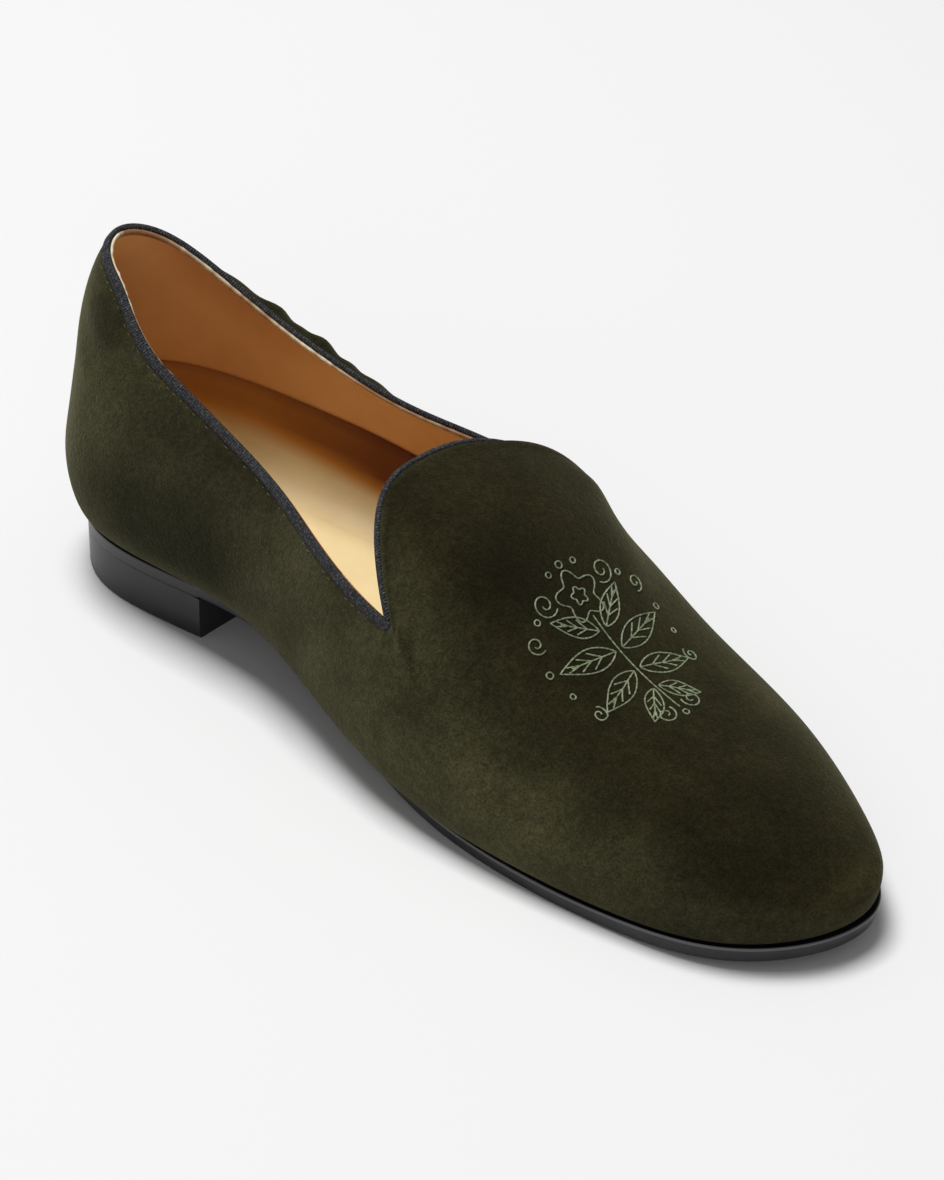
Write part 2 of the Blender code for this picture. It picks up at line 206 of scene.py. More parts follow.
# Sole: flush with the heel at its seat, with a lip from the ball to the toe
SEAT_EASE = 2.0
SEAT_DROP = 0.28
LIP_START = 172.0
LIP_END = 215.0
SOLE_SHARES = (0.0, 0.5, 0.9)

# Upper edge of the sole from inside out: outset, lift, more lift on the lip, whether the painted highlight
# line is on it
SOLE_TOP_EDGE = table(
    "outset lift lip line",
    (-1.7, 0.0, 0.0, 0),
    (-1.1, 0.0, 0.4, 0),
    (-0.45, 0.0, 0.6, 0),
    (-0.3, 0.2, 0.4, 1),
    (-0.05, 0.05, 0.4, 1),
    (0.05, -0.3, 0.3, 1),
    (0.0, -0.6, 0.2, 0),
)

# Lower edge of the sole from outside in: outset and lift, the same added ahead of the heel, share of the drop
SOLE_LOW_EDGE = table(
    "outset lift ahead_outset ahead_lift drop",
    (0.0, 0.9, 0.2, 0.0, 0),
    (0.0, 0.0, 0.0, 0.3, 1),
    (0.0, 0.0, -0.15, 0.05, 1),
    (-1.0, 0.0, 0.0, 0.0, 1),
)

# Heel block, from the floor up
BREAST_COLUMNS = 12
HEEL_CREASE = 50.0
HEEL_ROWS = table(
    "height inset",
    (0.0, 0.7),
    (0.15, 0.25),
    (0.6, 0.0),
    (7.0, 0.0),
    (14.7, 0.0),
)

# Soft puffs of the velvet just below the collar on the lateral side, by their place along the shoe
COLLAR_PUFFS = table(
    "along reach lift",
    (54, 32, 2.6),
    (20, 6, 0.7),
    (32, 6, 1.6),
    (44, 5, 2.4),
    (53, 3, 0.8),
    (61, 5, 2.2),
    (72, 3, 0.9),
    (82, 5, 1.0),
    (94, 4, 0.6),
)
PUFF_BELOW = 8.0
PUFF_REACH = 4.0

# Soft troughs and ridges of the velvet: from one point to another, how wide and how high
FOLDS = table(
    "x along height end_x end_along end_height width lift",
    # The full shoulder of the instep, and the hollow in front of it
    (38, 134, 74, 46, 154, 63, 10, 3.3),
    (51, 168, 52, 38, 192, 46, 8, -0.7),
    # The dent under the collar at the back of the medial side, and its lower lip
    (-21, 10, 88, -24, 22, 80, 5, -0.85),
    (-20, 4, 72, -27, 22, 66, 12, -0.7),
    (-19, 0, 42, -30, 22, 40, 11, 1.3),
    # The curl in front of the medial notch, with a trough on each side
    (-41.5, 160.5, 57, -46, 165, 51, 1.7, 1.5),
    (-40, 164.5, 57.5, -44.5, 168.5, 51.5, 1.5, -0.9),
    (-46, 160, 51, -49, 166, 45, 2.5, -0.5),
    # Slack drawn from the notch down to the arch
    (-45, 146, 52, -44, 118, 34, 6, -0.8),
    (-42, 132, 56, -42, 100, 36, 7, 0.7),
    (-38, 112, 60, -39, 84, 40, 8, -0.7),
    (-48, 168, 44, -50, 150, 28, 7, 0.6),
    # Broad easing of the vamp
    (-30, 182, 52, -44, 206, 30, 9, -0.6),
    (-10, 176, 66, -24, 214, 44, 12, 0.5),
    # The same slack on the lateral side
    (48, 146, 48, 50, 112, 32, 7, -0.9),
    (45, 126, 54, 47, 92, 36, 7, 0.8),
    (40, 104, 60, 43, 74, 40, 8, -0.7),
    (22, 12, 84, 27, 26, 74, 7, -0.9),
)

# Soft spots of paler (over 0) or darker (under 0) velvet, partly pile brushed one way and partly painted
# light and shade: the middle of each soft spot, its reach along the shoe and across it
BRUSHED_AND_PAINTED_LIGHT = table(
    "x along height reach across shade",
    (-33, 62, 42, 34, 18, -0.75),
    (-25, 80, 72, 26, 8, -0.35),
    (-24, 14, 62, 10, 26, 0.1),
    (-18, 24, 92, 12, 9, -0.45),
    (-44, 140, 34, 24, 12, 0.1),
    (-49, 190, 22, 34, 14, 0.3),
    (-5, 172, 70, 14, 22, -0.35),
    (-26, 266, 25, 22, 22, -0.35),
    (-10, 294, 14, 7, 20, 0.3),
    (36, 226, 32, 40, 10, 0.35),
    (33, 58, 40, 30, 16, -0.4),
    (42, 134, 42, 30, 14, 0.35),
)
# Middle of the mark of brushed pile and painted light, where the velvet is neither paler nor darker
BRUSHED_AND_LIGHT_MIDDLE = 0.5
# Painted shade on the velvet just above the feather edge: its strength, and its reach in millimetres
FEATHER_PAINTED_SHADE = 0.3
FEATHER_REACH = 4.0

# The velvet's roll beside the tongue's binding
ROLL_LIFT = 0.7
ROLL_BELOW = 2.2
ROLL_REACH = 1.6

# Embroidered sprig on the vamp: its middle in the flat pattern and its parts in millimetres
SPRIG_ACROSS = 0.07
SPRIG_ALONG = 199.0
SPRIG_STEPS = 24
SPRIG_STEM_END = -26.5
THREAD_RADIUS = 0.29
THREAD_RISE = 0.435
BED_RADIUS = 0.6
BED_RISE = 0.1
THREAD_SIDES = 6
THREAD_STEP = 0.35
THREAD_STITCH = 1.7
THREAD_SWELL = 0.3
THREAD_PINCH = 4
LEAST_POINTS = 4
RING_POINTS = 90
LEAF_POINTS = 30
LEAF_BELLY = 0.8
LEAF_RIB = 0.8
LEAF_VEINS = 3
VEIN_SPAN = (0.25, 0.65)
VEIN_SLANT = 0.22
VEIN_REACH = 0.75
SPRIG_LEAVES = table(
    "side ahead angle length width",
    (1.6, 5.0, 36, 16, 6.4),
    (1.6, -2.5, 10, 21, 7.4),
    (1.4, -10.0, -16, 19, 7.0),
    (1.2, -17.5, -40, 13, 5.4),
)
BlossomRow = namedtuple("BlossomRow", "ahead radius petals depth")
SPRIG_BLOSSOM = BlossomRow(16.5, 6.8, 5, 0.22)
BLOSSOM_RINGS = (1.0, 0.35)
CURL_POINTS = 60
CURL_CLOSE = 0.8
SPRIG_CURLS = table(
    "side ahead radius turns start",
    (12.5, 19.5, 4.2, 1.4, -140),
    (6.0, -26.0, 3.6, 1.35, 150),
    (22.5, 11.5, 3.0, 1.3, -120),
    (22.0, -14.5, 2.6, 1.3, 110),
)
SPRIG_DOTS = table(
    "side ahead radius",
    (0.0, 27.0, 1.1),
    (5.2, 26.0, 0.9),
    (18.0, 16.5, 0.9),
    (25.0, 2.5, 1.0),
    (24.0, -6.0, 0.8),
    (0.0, -29.0, 1.0),
)

# Raw edge of the lining beside the collar's binding: its section, how ragged it is and where it shows
RAW_SECTION = table(
    "inward rise",
    (0.0, -3.0),
    (0.0, 0.35),
    (0.45, 0.49),
    (0.9, 0.35),
    (1.05, -0.5),
    (0.9, -3.0),
)
RAW_CONTRAST = 1.5
RAW_SEED = 3
RAW_RAGGED = (0.35, 1.3)
RAW_STEADY = 0.65
RAW_WAVE = 7.3
RAW_SHOWN = table(
    "along medial lateral",
    (0, 1.2, 0.3),
    (14, 1.3, 0.2),
    (28, 1.3, 0.7),
    (44, 0.9, 1.0),
    (56, 0.2, 0.8),
    (80, 0.0, 0.4),
    (110, 0.0, 0.2),
    (155, 0.0, 0.0),
)

# Stitches below the collar's binding
STITCH_STEP = 3.0
STITCH_LENGTH = 1.1
STITCH_BELOW = 0.75
STITCH_RADIUS = 0.15
STITCH_SUNK = 0.4
STITCH_SEED = 5
STITCH_POINTS = 5

# Noise of a material: the size of its lumps in millimetres, its detail and its roughness
NoiseRow = namedtuple("NoiseRow", "size detail roughness")

# Velvet, in linear red, green and blue: dark on top and paler on the sides, a painted light that follows how
# far the surface faces sideways; tints are (value, brightness)
VELVET_TOP = (0.0152, 0.0133, 0.0053)
VELVET_SIDE_PAINTED_LIGHT = (0.037, 0.0347, 0.0163)
VELVET_PAINTED_SIDE_LIGHT = ((0.3, VELVET_TOP), (0.95, VELVET_SIDE_PAINTED_LIGHT))
VELVET_ROUGHNESS = 0.95
VELVET_SHINE = 0.03
VELVET_SHEEN = (0.40, 0.39, 0.24)
VELVET_SHEEN_WEIGHT = 0.32
VELVET_SHEEN_ROUGHNESS = 0.45
PATCHES = NoiseRow(22.0, 4.0, 0.6)
FLECKS = NoiseRow(2.2, 3.0, 0.7)
PILE = NoiseRow(0.7, 2.0, 0.6)
PILE_DEPTH = 0.25
BRUSHED_AND_LIGHT_TINT = ((0.0, 0.45), (0.5, 1.0), (1.0, 1.9))
PATCH_TINT = ((0.36, 0.78), (0.64, 1.24))
FLECK_TINT = ((0.36, 0.82), (0.5, 1.0), (0.64, 1.22))
PILE_TINT = ((0.32, 0.7), (0.68, 1.35))

# Ribbons: dark with lighter specks, and the period and slant of their ribs
RibbonRow = namedtuple("RibbonRow", "name period slant")
COLLAR_RIBBON = RibbonRow("slate_ribbon", 0.8, 0.0)
TONGUE_RIBBON = RibbonRow("slate_cord", 0.9, 0.6)
RIBBON_DARK = (0.012, 0.0125, 0.014)
RIBBON_MIDDLE = (0.038, 0.039, 0.043)
RIBBON_LIGHT = (0.11, 0.108, 0.108)
RIBBON_COLOURS = ((0.35, RIBBON_DARK), (0.55, RIBBON_MIDDLE), (0.72, RIBBON_LIGHT))
RIBBON_SPECKS = NoiseRow(0.7, 2.0, 0.7)
RIBBON_ROUGHNESS = 0.75
RIBBON_SHINE = 0.2

# Leathers and threads: their two colours, roughness, sizes of patches and grain, and depth of the grain
LeatherRow = namedtuple("LeatherRow", "name dark light roughness patch grain depth")
LINING = LeatherRow("tan_lining", (0.655, 0.305, 0.105), (0.76, 0.385, 0.14), 0.5, 30.0, 0.9, 0.04)
CREAM = LeatherRow("cream_leather", (0.78, 0.625, 0.33), (0.84, 0.695, 0.375), 0.5, 25.0, 0.7, 0.04)
SOCK = CREAM._replace(name="sock_leather")
BLACK = LeatherRow("black_leather", (0.016, 0.016, 0.0165), (0.03, 0.0295, 0.03), 0.38, 12.0, 0.6, 0.03)
HEEL = LeatherRow("heel_finish", (0.016, 0.0164, 0.016), (0.024, 0.0246, 0.024), 0.38, 20.0, 0.5, 0.01)
THREAD = LeatherRow("thread", (0.09, 0.11, 0.06), (0.30, 0.345, 0.21), 0.6, 1.5, 0.4, 0.05)
BED = LeatherRow("pressed_nap", (0.006, 0.0055, 0.0025), (0.011, 0.010, 0.0045), 0.95, 2.0, 0.6, 0.1)
STITCH = LeatherRow("stitch_thread", (0.08, 0.066, 0.034), (0.11, 0.095, 0.05), 0.7, 2.0, 0.4, 0.03)
RAW = LeatherRow("raw_edge", (0.58, 0.46, 0.28), (0.80, 0.70, 0.52), 0.8, 3.0, 0.5, 0.1)
LEATHER_STOPS = (0.3, 0.7)
LEATHER_SHINE = 0.3
LEATHER_DETAIL = 3.0
PATCH_ROUGHNESS = 0.55
GRAIN_ROUGHNESS = 0.6
# Painted shade of the sock: colours that multiply its cream, from deep brown high on the wall to none on the
# insole
SOCK_PAINTED_SHADE_COLOURS = ((0.0, (0.17, 0.04, 0.009)), (0.5, (0.76, 0.41, 0.16)), (1.0, (1.0, 1.0, 1.0)))
# Painted highlight: the pale grey line along the sole's upper edge
SOLE_PAINTED_HIGHLIGHT = (0.12, 0.12, 0.125)
RAW_HIDDEN = (0.26, 0.10, 0.03)

# Floor, in metres
FLOOR_HALF = 6.0
FLOOR_COLOUR = (0.79, 0.79, 0.79)
FLOOR_ROUGHNESS = 0.6
FLOOR_SHINE = 0.2

# Camera and lights, in metres and watts
CAMERA_EYE = (-0.608, -0.511, 0.6106)
CAMERA_AIM = (0.0086, 0.0058, 0.035)
CAMERA_ROLL = 2.31
CAMERA_LENS = 102.5
CAMERA_SENSOR = 36.0
SKY_STRENGTH = 0.2
LIGHT_AIM = (0.0, 0.0, 0.04)
LIGHTS = table(
    "name place power wide tall",
    ("key", (-0.03, 0.75, 3.0), 96.0, 1.2, 1.2),
    ("front", (-1.7, -1.4, 0.9), 6.0, 1.8, 0.8),
)

# Sockets of the colour mixing node, by number because several share a name
MIX_FACTOR, MIX_FIRST, MIX_SECOND, MIX_RESULT = 0, 6, 7, 2

Ray = namedtuple("Ray", "share side rim spine_along spine_x step_along step_x length")
Columns = namedtuple("Columns", "top lead direction rim band kind")
Stroke = namedtuple("Stroke", "points normal gone")
# A section's last value is 0 where the sole's edge takes its painted highlight, and 1 elsewhere
Section = namedtuple("Section", "outset share height lift trim", defaults=[1.0])


def together(*parts):
    """Separate coordinates as points."""
    return np.stack(parts, axis=-1)


def smooth_curve(rows, column):
    """Natural cubic spline through one named column of a table."""
    place = np.array([row.along for row in rows], float)
    value = np.array([getattr(row, column) for row in rows], float)
    gap = np.diff(place)
    last_row = len(place) - 1
    system = np.eye(len(place))
    target = np.zeros(len(place))
    for row in range(1, last_row):
        before, after = gap[row - 1], gap[row]
        system[row, row - 1:row + 2] = before, 2 * (before + after), after
        slope_before = (value[row] - value[row - 1]) / before
        slope_after = (value[row + 1] - value[row]) / after
        target[row] = 6 * (slope_after - slope_before)
    bend = np.linalg.solve(system, target)

    def curve(along):
        left = np.clip(np.searchsorted(place, along) - 1, 0, last_row - 1)
        far = (along - place[left]) / gap[left]
        near = 1 - far
        straight = near * value[left] + far * value[left + 1]
        bow = (near ** 3 - near) * bend[left] + (far ** 3 - far) * bend[left + 1]
        return straight + bow * gap[left] ** 2 / 6

    return curve


def table_value(rows, column, along):
    """One named column of a table, straight from row to row."""
    return np.interp(along, [row.along for row in rows], [getattr(row, column) for row in rows])


def squared(rows):
    """The sole's edge with its breadths squared, so that both ends close round."""
    return tuple(row._replace(medial=row.medial ** 2, lateral=row.lateral ** 2) for row in rows)


def by_side(rows):
    """The curves of a table's two sides as one, picked by the sign of the side."""
    medial, lateral = smooth_curve(rows, "medial"), smooth_curve(rows, "lateral")
    return lambda along, side: np.where(side < 0, medial(along), lateral(along))


EDGE_SQUARED = by_side(squared(SOLE_EDGE))
SWELL_OUT = by_side(SWELL)
SWELL_HEIGHT = smooth_curve(SWELL, "height")
RIDGE_HEIGHT = smooth_curve(RIDGE, "height")
RIDGE_OFFSET = smooth_curve(RIDGE, "offset")
RIDGE_SQUARE = smooth_curve(RIDGE, "square")
TOPLINE_HEIGHT = by_side(TOPLINE)


def edge_breadth(along, side):
    return np.sqrt(np.maximum(EDGE_SQUARED(along, side), 0))


def sole_underside(along):
    """Height of the sole's underside: flat seat, arch, flat tread, toe spring."""
    arch = np.clip((along - SEAT_END) / (TREAD_START - SEAT_END), 0, 1)
    toe = np.clip((along - TREAD_END) / (LENGTH - TREAD_END), 0, None)
    return HEEL_HEIGHT * (1 - arch * arch * (3 - 2 * arch)) + TOE_SPRING * toe * toe


def sole_top(along):
    return sole_underside(along) + SOLE_THICK


def feather_height(along):
    return sole_top(along) + GAP


def rays(pattern):
    """The ray of each pattern point: out from the last's spine to the sole's edge."""
    across, along = pattern[..., 0], pattern[..., 1]
    ahead = np.maximum(along - BALL_POLE, 0) / TOE_REACH
    behind = np.maximum(HEEL_POLE - along, 0) / HEEL_POLE
    end = ahead - behind
    share = np.maximum(np.hypot(across, end), TINY_SHARE)
    side = np.where(across < 0, -1.0, 1.0)
    rim = np.where(end > 0, BALL_POLE + TOE_REACH * end / share, along)
    rim = np.where(end < 0, HEEL_POLE + HEEL_POLE * end / share, rim)
    spine_along = np.clip(along, HEEL_POLE, BALL_POLE)
    spine_x = RIDGE_OFFSET(spine_along)
    run_along = rim - spine_along
    run_x = side * edge_breadth(rim, side) - spine_x
    length = np.hypot(run_along, run_x)
    return Ray(share, side, rim, spine_along, spine_x, run_along / length, run_x / length, length)


def last_surface(pattern):
    """Points (x, along, height) of the last's surface; past the feather edge it turns flat and inward."""
    ray = rays(pattern)
    bulge = SWELL_OUT(ray.rim, ray.side)
    widest = ray.length + bulge
    belt = feather_height(ray.rim) + SWELL_HEIGHT(ray.rim)
    arch = np.clip(ray.share / WIDEST, 0, 1) * pi / 2
    upper_run = widest * np.sin(arch)
    crown = RIDGE_HEIGHT(ray.spine_along + ray.step_along * upper_run)
    square = RIDGE_SQUARE(np.clip(pattern[..., 1], 0, LENGTH))
    rise = np.maximum(1 - np.sin(arch) ** square, 0) ** (1 / RISE_POWER)
    upper_height = belt + (crown - belt) * rise
    turn = np.clip((ray.share - WIDEST) / (1 - WIDEST), 0, 1) * pi / 2
    tuck = bulge + TUCK
    corner = 2 / CORNER_POWER
    margin = np.maximum(ray.share - 1, 0) * LENGTH
    lower_run = widest - tuck + tuck * np.maximum(np.cos(turn), 0) ** corner - margin
    foot = feather_height(ray.spine_along + ray.step_along * lower_run)
    lower_height = belt - (belt - foot) * np.sin(turn) ** corner
    lower = ray.share > WIDEST
    run = np.where(lower, lower_run, upper_run)
    height = np.where(lower, lower_height, upper_height)
    x = ray.spine_x + ray.step_x * run
    along = ray.spine_along + ray.step_along * run
    return together(x, along, height)


def surface_normals(pattern):
    """Unit normals of the last's surface, pointing out of the shoe."""
    normal = unit(np.cross(*surface_steps(pattern)))
    ray = rays(pattern)
    middle_height = feather_height(ray.spine_along) + SWELL_HEIGHT(ray.spine_along)
    middle = together(ray.spine_x, ray.spine_along, middle_height)
    outward = dot(normal, last_surface(pattern) - middle)
    return normal * np.where(outward < 0, -1.0, 1.0)[..., None]


def off_surface(pattern, out):
    """Points of the last's surface moved out along its normals."""
    return last_surface(pattern) + surface_normals(pattern) * np.asarray(out)[..., None]


def along_ray(rim, share):
    """Pattern points at a share of the rays that end at the given rim points."""
    pole = np.clip(rim[..., 1], HEEL_POLE, BALL_POLE)
    across = rim[..., 0] * share
    along = pole + (rim[..., 1] - pole) * share
    return together(across, along)


def topline_share(rim):
    """Share of each ray at which the surface, followed up from its widest line, reaches the topline."""
    height = TOPLINE_HEIGHT(rim[..., 1], rim[..., 0])
    shares = np.linspace(WIDEST, 0, TOPLINE_STEPS)
    reached = np.stack([last_surface(along_ray(rim, share))[..., 2] for share in shares])
    above = np.argmax(reached > height, axis=0)
    ray = np.arange(len(rim))
    low, high = reached[above - 1, ray], reached[above, ray]
    part = (height - low) / (high - low)
    return shares[above - 1] + part * (shares[above] - shares[above - 1])


def heel_round(side, count):
    """Rim points along the medial side, round the heel and back along the lateral side."""
    angle = np.linspace(0, pi, count)
    across = np.concatenate([-np.ones(len(side)), -np.cos(angle), np.ones(len(side))])
    along = np.concatenate([side, HEEL_POLE * (1 - np.sin(angle)), side[::-1]])
    return together(across, along)


def quarter_rim():
    """Rim points from the medial notch back round the heel to the lateral notch."""
    side = np.linspace(NOTCH - 2 * NOTCH_EASE, HEEL_POLE, SIDE_COLUMNS + 1)[:-1]
    return heel_round(np.concatenate([[NOTCH, NOTCH - NOTCH_EASE], side]), 2 * HEEL_COLUMNS + 1)


def tongue_shares():
    """Shares of the tongue's edge from the lateral notch over the crest to the medial notch."""
    ease = NOTCH_EASE / (2 * (NOTCH - CREST) * TONGUE_POWER)
    even = np.linspace(2 * ease, 1 - 2 * ease, 2 * TONGUE_COLUMNS + 1)
    return np.concatenate([[0, ease], even, [1 - ease, 1]])


def tongue_edge(share, medial_reach, lateral_reach):
    """Pattern points of the tongue's edge."""
    side = 1 - 2 * share
    across = side * np.where(side > 0, lateral_reach, medial_reach)
    along = CREST + (NOTCH - CREST) * np.abs(side) ** TONGUE_POWER
    return together(across, along)


def toe_rim(share):
    """Rim points from the lateral notch (share 0) round the toe to the medial notch (share 1)."""
    straight = BALL_POLE - NOTCH
    half_way = straight + TOE_REACH * TOE_ROUND
    from_notch = np.minimum(share, 1 - share) * 2 * half_way
    angle = np.clip((from_notch - straight) / (half_way - straight), 0, 1) * pi / 2
    across = np.where(share <= 1 / 2, 1.0, -1.0) * np.cos(angle)
    along = NOTCH + np.minimum(from_notch, straight) + TOE_REACH * np.sin(angle)
    return together(across, along)


def surface_steps(pattern):
    """How the surface moves for one unit across and for one millimetre along."""
    step_across = np.array([PROBE_ACROSS, 0.0])
    step_along = np.array([0.0, PROBE_ALONG])
    by_across = last_surface(pattern + step_across) - last_surface(pattern - step_across)
    by_along = last_surface(pattern + step_along) - last_surface(pattern - step_along)
    return by_across / (2 * PROBE_ACROSS), by_along / (2 * PROBE_ALONG)


def unit(vectors):
    return vectors / np.linalg.norm(vectors, axis=-1, keepdims=True)


def dot(first, second):
    return np.sum(first * second, axis=-1)


def distance_along(points, axis=0):
    """Distance of each point of a line, or of each row of lines, from the start."""
    step = np.linalg.norm(np.diff(points, axis=axis), axis=-1)
    return np.insert(np.cumsum(step, axis=axis), 0, 0, axis=axis)


def at_distance(line, gone, places):
    """Points of a flat line at given distances from its start."""
    return np.stack([np.interp(places, gone, line[:, axis]) for axis in range(2)], axis=-1)


def pattern_lead(pattern, direction):
    """Pattern step that moves the surface one millimetre in a direction of its tangent plane."""
    by_across, by_along = surface_steps(pattern)
    across_size, along_size = dot(by_across, by_across), dot(by_along, by_along)
    shared = dot(by_across, by_along)
    to_across, to_along = dot(direction, by_across), dot(direction, by_along)
    spread = across_size * along_size - shared * shared
    across = (to_across * along_size - to_along * shared) / spread
    along = (to_along * across_size - to_across * shared) / spread
    return together(across, along)


def edge_direction(pattern):
    """Direction in the surface, square to an open edge, that leads into the upper."""
    run = np.gradient(last_surface(pattern), axis=0)
    return unit(np.cross(unit(run), surface_normals(pattern)))


def notch_fan(corner, first, last):
    """Directions that turn in the surface at a notch from one edge's lead to the other's."""
    normal = surface_normals(corner[None])[0]
    side = np.cross(normal, first)
    turn = np.arctan2(np.dot(last, side), np.dot(last, first))
    angle = turn * np.arange(1, FAN_COLUMNS) / FAN_COLUMNS
    return np.cos(angle)[:, None] * first + np.sin(angle)[:, None] * side


def columns_round():
    """All columns of the upper, one closed round from the medial notch over heel, toe and back."""
    quarter = quarter_rim()
    reach = topline_share(quarter)
    quarter_top = along_ray(quarter, reach)
    share = tongue_shares()
    tongue_top = tongue_edge(share, reach[0], reach[-1])
    quarter_lead = edge_direction(quarter_top)
    tongue_lead = edge_direction(tongue_top)
    lateral, medial = quarter_top[-1], quarter_top[0]
    lateral_fan = notch_fan(lateral, quarter_lead[-1], tongue_lead[0])
    medial_fan = notch_fan(medial, tongue_lead[-1], quarter_lead[0])
    fan = np.arange(1, FAN_COLUMNS) / FAN_COLUMNS
    top = np.concatenate([
        quarter_top, np.tile(lateral, (len(fan), 1)), tongue_top, np.tile(medial, (len(fan), 1))])
    direction = np.concatenate([quarter_lead, lateral_fan, tongue_lead, medial_fan])
    rim = np.concatenate([
        quarter, toe_rim(fan * FAN_END), toe_rim(FAN_END + share * (1 - 2 * FAN_END)),
        toe_rim(1 - FAN_END + fan * FAN_END)])
    narrow = QUARTER_BAND + (VAMP_BAND - QUARTER_BAND) * fan
    band = np.concatenate([
        np.full(len(quarter), QUARTER_BAND), narrow, np.full(len(share), VAMP_BAND), narrow[::-1]])
    kind = np.repeat(["quarter", "fan", "tongue", "fan"], [len(quarter), len(fan), len(share), len(fan)])
    return Columns(top, pattern_lead(top, direction), direction, rim, band, kind)


def pick(columns, which):
    """Some of the columns."""
    return Columns(*(values[which] for values in columns))


def to_frame(points):
    """Points (x, along, height) in millimetres to the shoe's frame in metres."""
    x = points[..., 0] - CENTRE_X
    y = CENTRE_ALONG - points[..., 1]
    return together(x, y, points[..., 2]).reshape(-1, 3) * MM


def grid_faces(columns, rows, start=0, ring=False):
    """Quads over a grid of columns and rows whose corners begin at a given number."""
    faces = []
    for column in range(columns if ring else columns - 1):
        after = (column + 1) % columns
        for row in range(rows - 1):
            here = start + column * rows + row
            there = start + after * rows + row
            faces.append((here, there, there + 1, here + 1))
    return faces


def wall_faces(columns, rows):
    """Faces of a closed wall round the shoe: outer grid, inner grid and both rims."""
    inner = columns * rows
    faces = grid_faces(columns, rows, 0, True) + grid_faces(columns, rows, inner, True)
    for column in range(columns):
        after = (column + 1) % columns
        for row in (0, rows - 1):
            here = column * rows + row
            there = after * rows + row
            faces.append((here, there, inner + there, inner + here))
    return faces


def add_mesh(name, points, faces, material, marks=None):
    """A smooth piece that rides on the shoe; marks are named values on its points for the material."""
    mesh = bpy.data.meshes.new(name)
    mesh.from_pydata(to_frame(points).tolist(), [], faces)
    for mark, values in (marks or {}).items():
        layer = mesh.attributes.new(mark, "FLOAT", "POINT")
        spread = np.broadcast_to(values, points.shape[:-1])
        layer.data.foreach_set("value", spread.astype(np.float32).ravel())
    shape = bmesh.new()
    shape.from_mesh(mesh)
    bmesh.ops.remove_doubles(shape, verts=shape.verts, dist=SAME_POINT)
    bmesh.ops.recalc_face_normals(shape, faces=shape.faces)
    shape.to_mesh(mesh)
    shape.free()
    mesh.shade_smooth()
    mesh.materials.append(material)
    piece = bpy.data.objects.new(name, mesh)
    bpy.context.scene.collection.objects.link(piece)
    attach(piece, "root")
    return piece


def new_material(name, colour, roughness, shine):
    """A material with its Principled shader, to be dressed with nodes."""
    material = bpy.data.materials.new(name)
    material.use_nodes = True
    surface = surface_of(material)
    surface.inputs["Base Color"].default_value = (*colour, 1.0)
    surface.inputs["Roughness"].default_value = roughness
    surface.inputs["Specular IOR Level"].default_value = shine
    return material


def add_node(material, kind, settings=None, values=None):
    """One shader node with its settings and the values of its unlinked inputs."""
    node = material.node_tree.nodes.new(kind)
    for setting, value in (settings or {}).items():
        setattr(node, setting, value)
    for socket, value in (values or {}).items():
        node.inputs[socket].default_value = value
    return node


def link(material, source, socket, target, target_socket):
    material.node_tree.links.new(source.outputs[socket], target.inputs[target_socket])


def surface_of(material):
    return material.node_tree.nodes["Principled BSDF"]


def add_noise(material, size, detail, roughness):
    """Noise in the shoe's own space whose lumps are about a given number of millimetres wide."""
    place = add_node(material, "ShaderNodeTexCoord")
    values = {"Scale": 1 / (size * MM), "Detail": detail, "Roughness": roughness}
    noise = add_node(material, "ShaderNodeTexNoise", None, values)
    link(material, place, "Object", noise, "Vector")
    return noise


def add_mark(material, mark):
    """A node that reads a mark on the mesh."""
    return add_node(material, "ShaderNodeAttribute", {"attribute_name": mark})


def add_ramp(material, source, socket, stops):
    """Colours over a value, from (place, colour) stops."""
    ramp = add_node(material, "ShaderNodeValToRGB")
    band = ramp.color_ramp
    while len(band.elements) < len(stops):
        band.elements.new(1.0)
    for element, (place, colour) in zip(band.elements, stops):
        element.position = place
        element.color = (*colour, 1.0)
    link(material, source, socket, ramp, "Fac")
    return ramp


def add_math(material, operation, source, socket, factor=0.0):
    """A calculation on a value; one with two inputs takes the factor as its second."""
    node = add_node(material, "ShaderNodeMath", {"operation": operation}, {1: factor})
    link(material, source, socket, node, 0)
    return node


def add_bump(material, source, socket, depth, before=None):
    """Bump of a given depth in millimetres, on top of an earlier bump."""
    bump = add_node(material, "ShaderNodeBump", None, {"Distance": depth * MM, "Strength": 1.0})
    link(material, source, socket, bump, "Height")
    if before:
        link(material, before, "Normal", bump, "Normal")
    return bump


def finish(material, colour, bump):
    """Links a colour socket and a bump to a material's surface."""
    surface = surface_of(material)
    material.node_tree.links.new(colour, surface.inputs["Base Color"])
    link(material, bump, "Normal", surface, "Normal")


def multiply(material, below, source, stops):
    """A colour socket multiplied by colours that follow a value, from (place, colour) stops."""
    shade = add_ramp(material, source, "Fac", stops)
    settings = {"data_type": "RGBA", "blend_type": "MULTIPLY"}
    mix = add_node(material, "ShaderNodeMix", settings, {MIX_FACTOR: 1.0})
    material.node_tree.links.new(below, mix.inputs[MIX_FIRST])
    link(material, shade, "Color", mix, MIX_SECOND)
    return mix.outputs[MIX_RESULT]


def add_tint(material, below, source, stops):
    """A colour socket multiplied by a brightness that follows a value, from (place, brightness) stops."""
    return multiply(material, below, source, [(place, (bright,) * 3) for place, bright in stops])


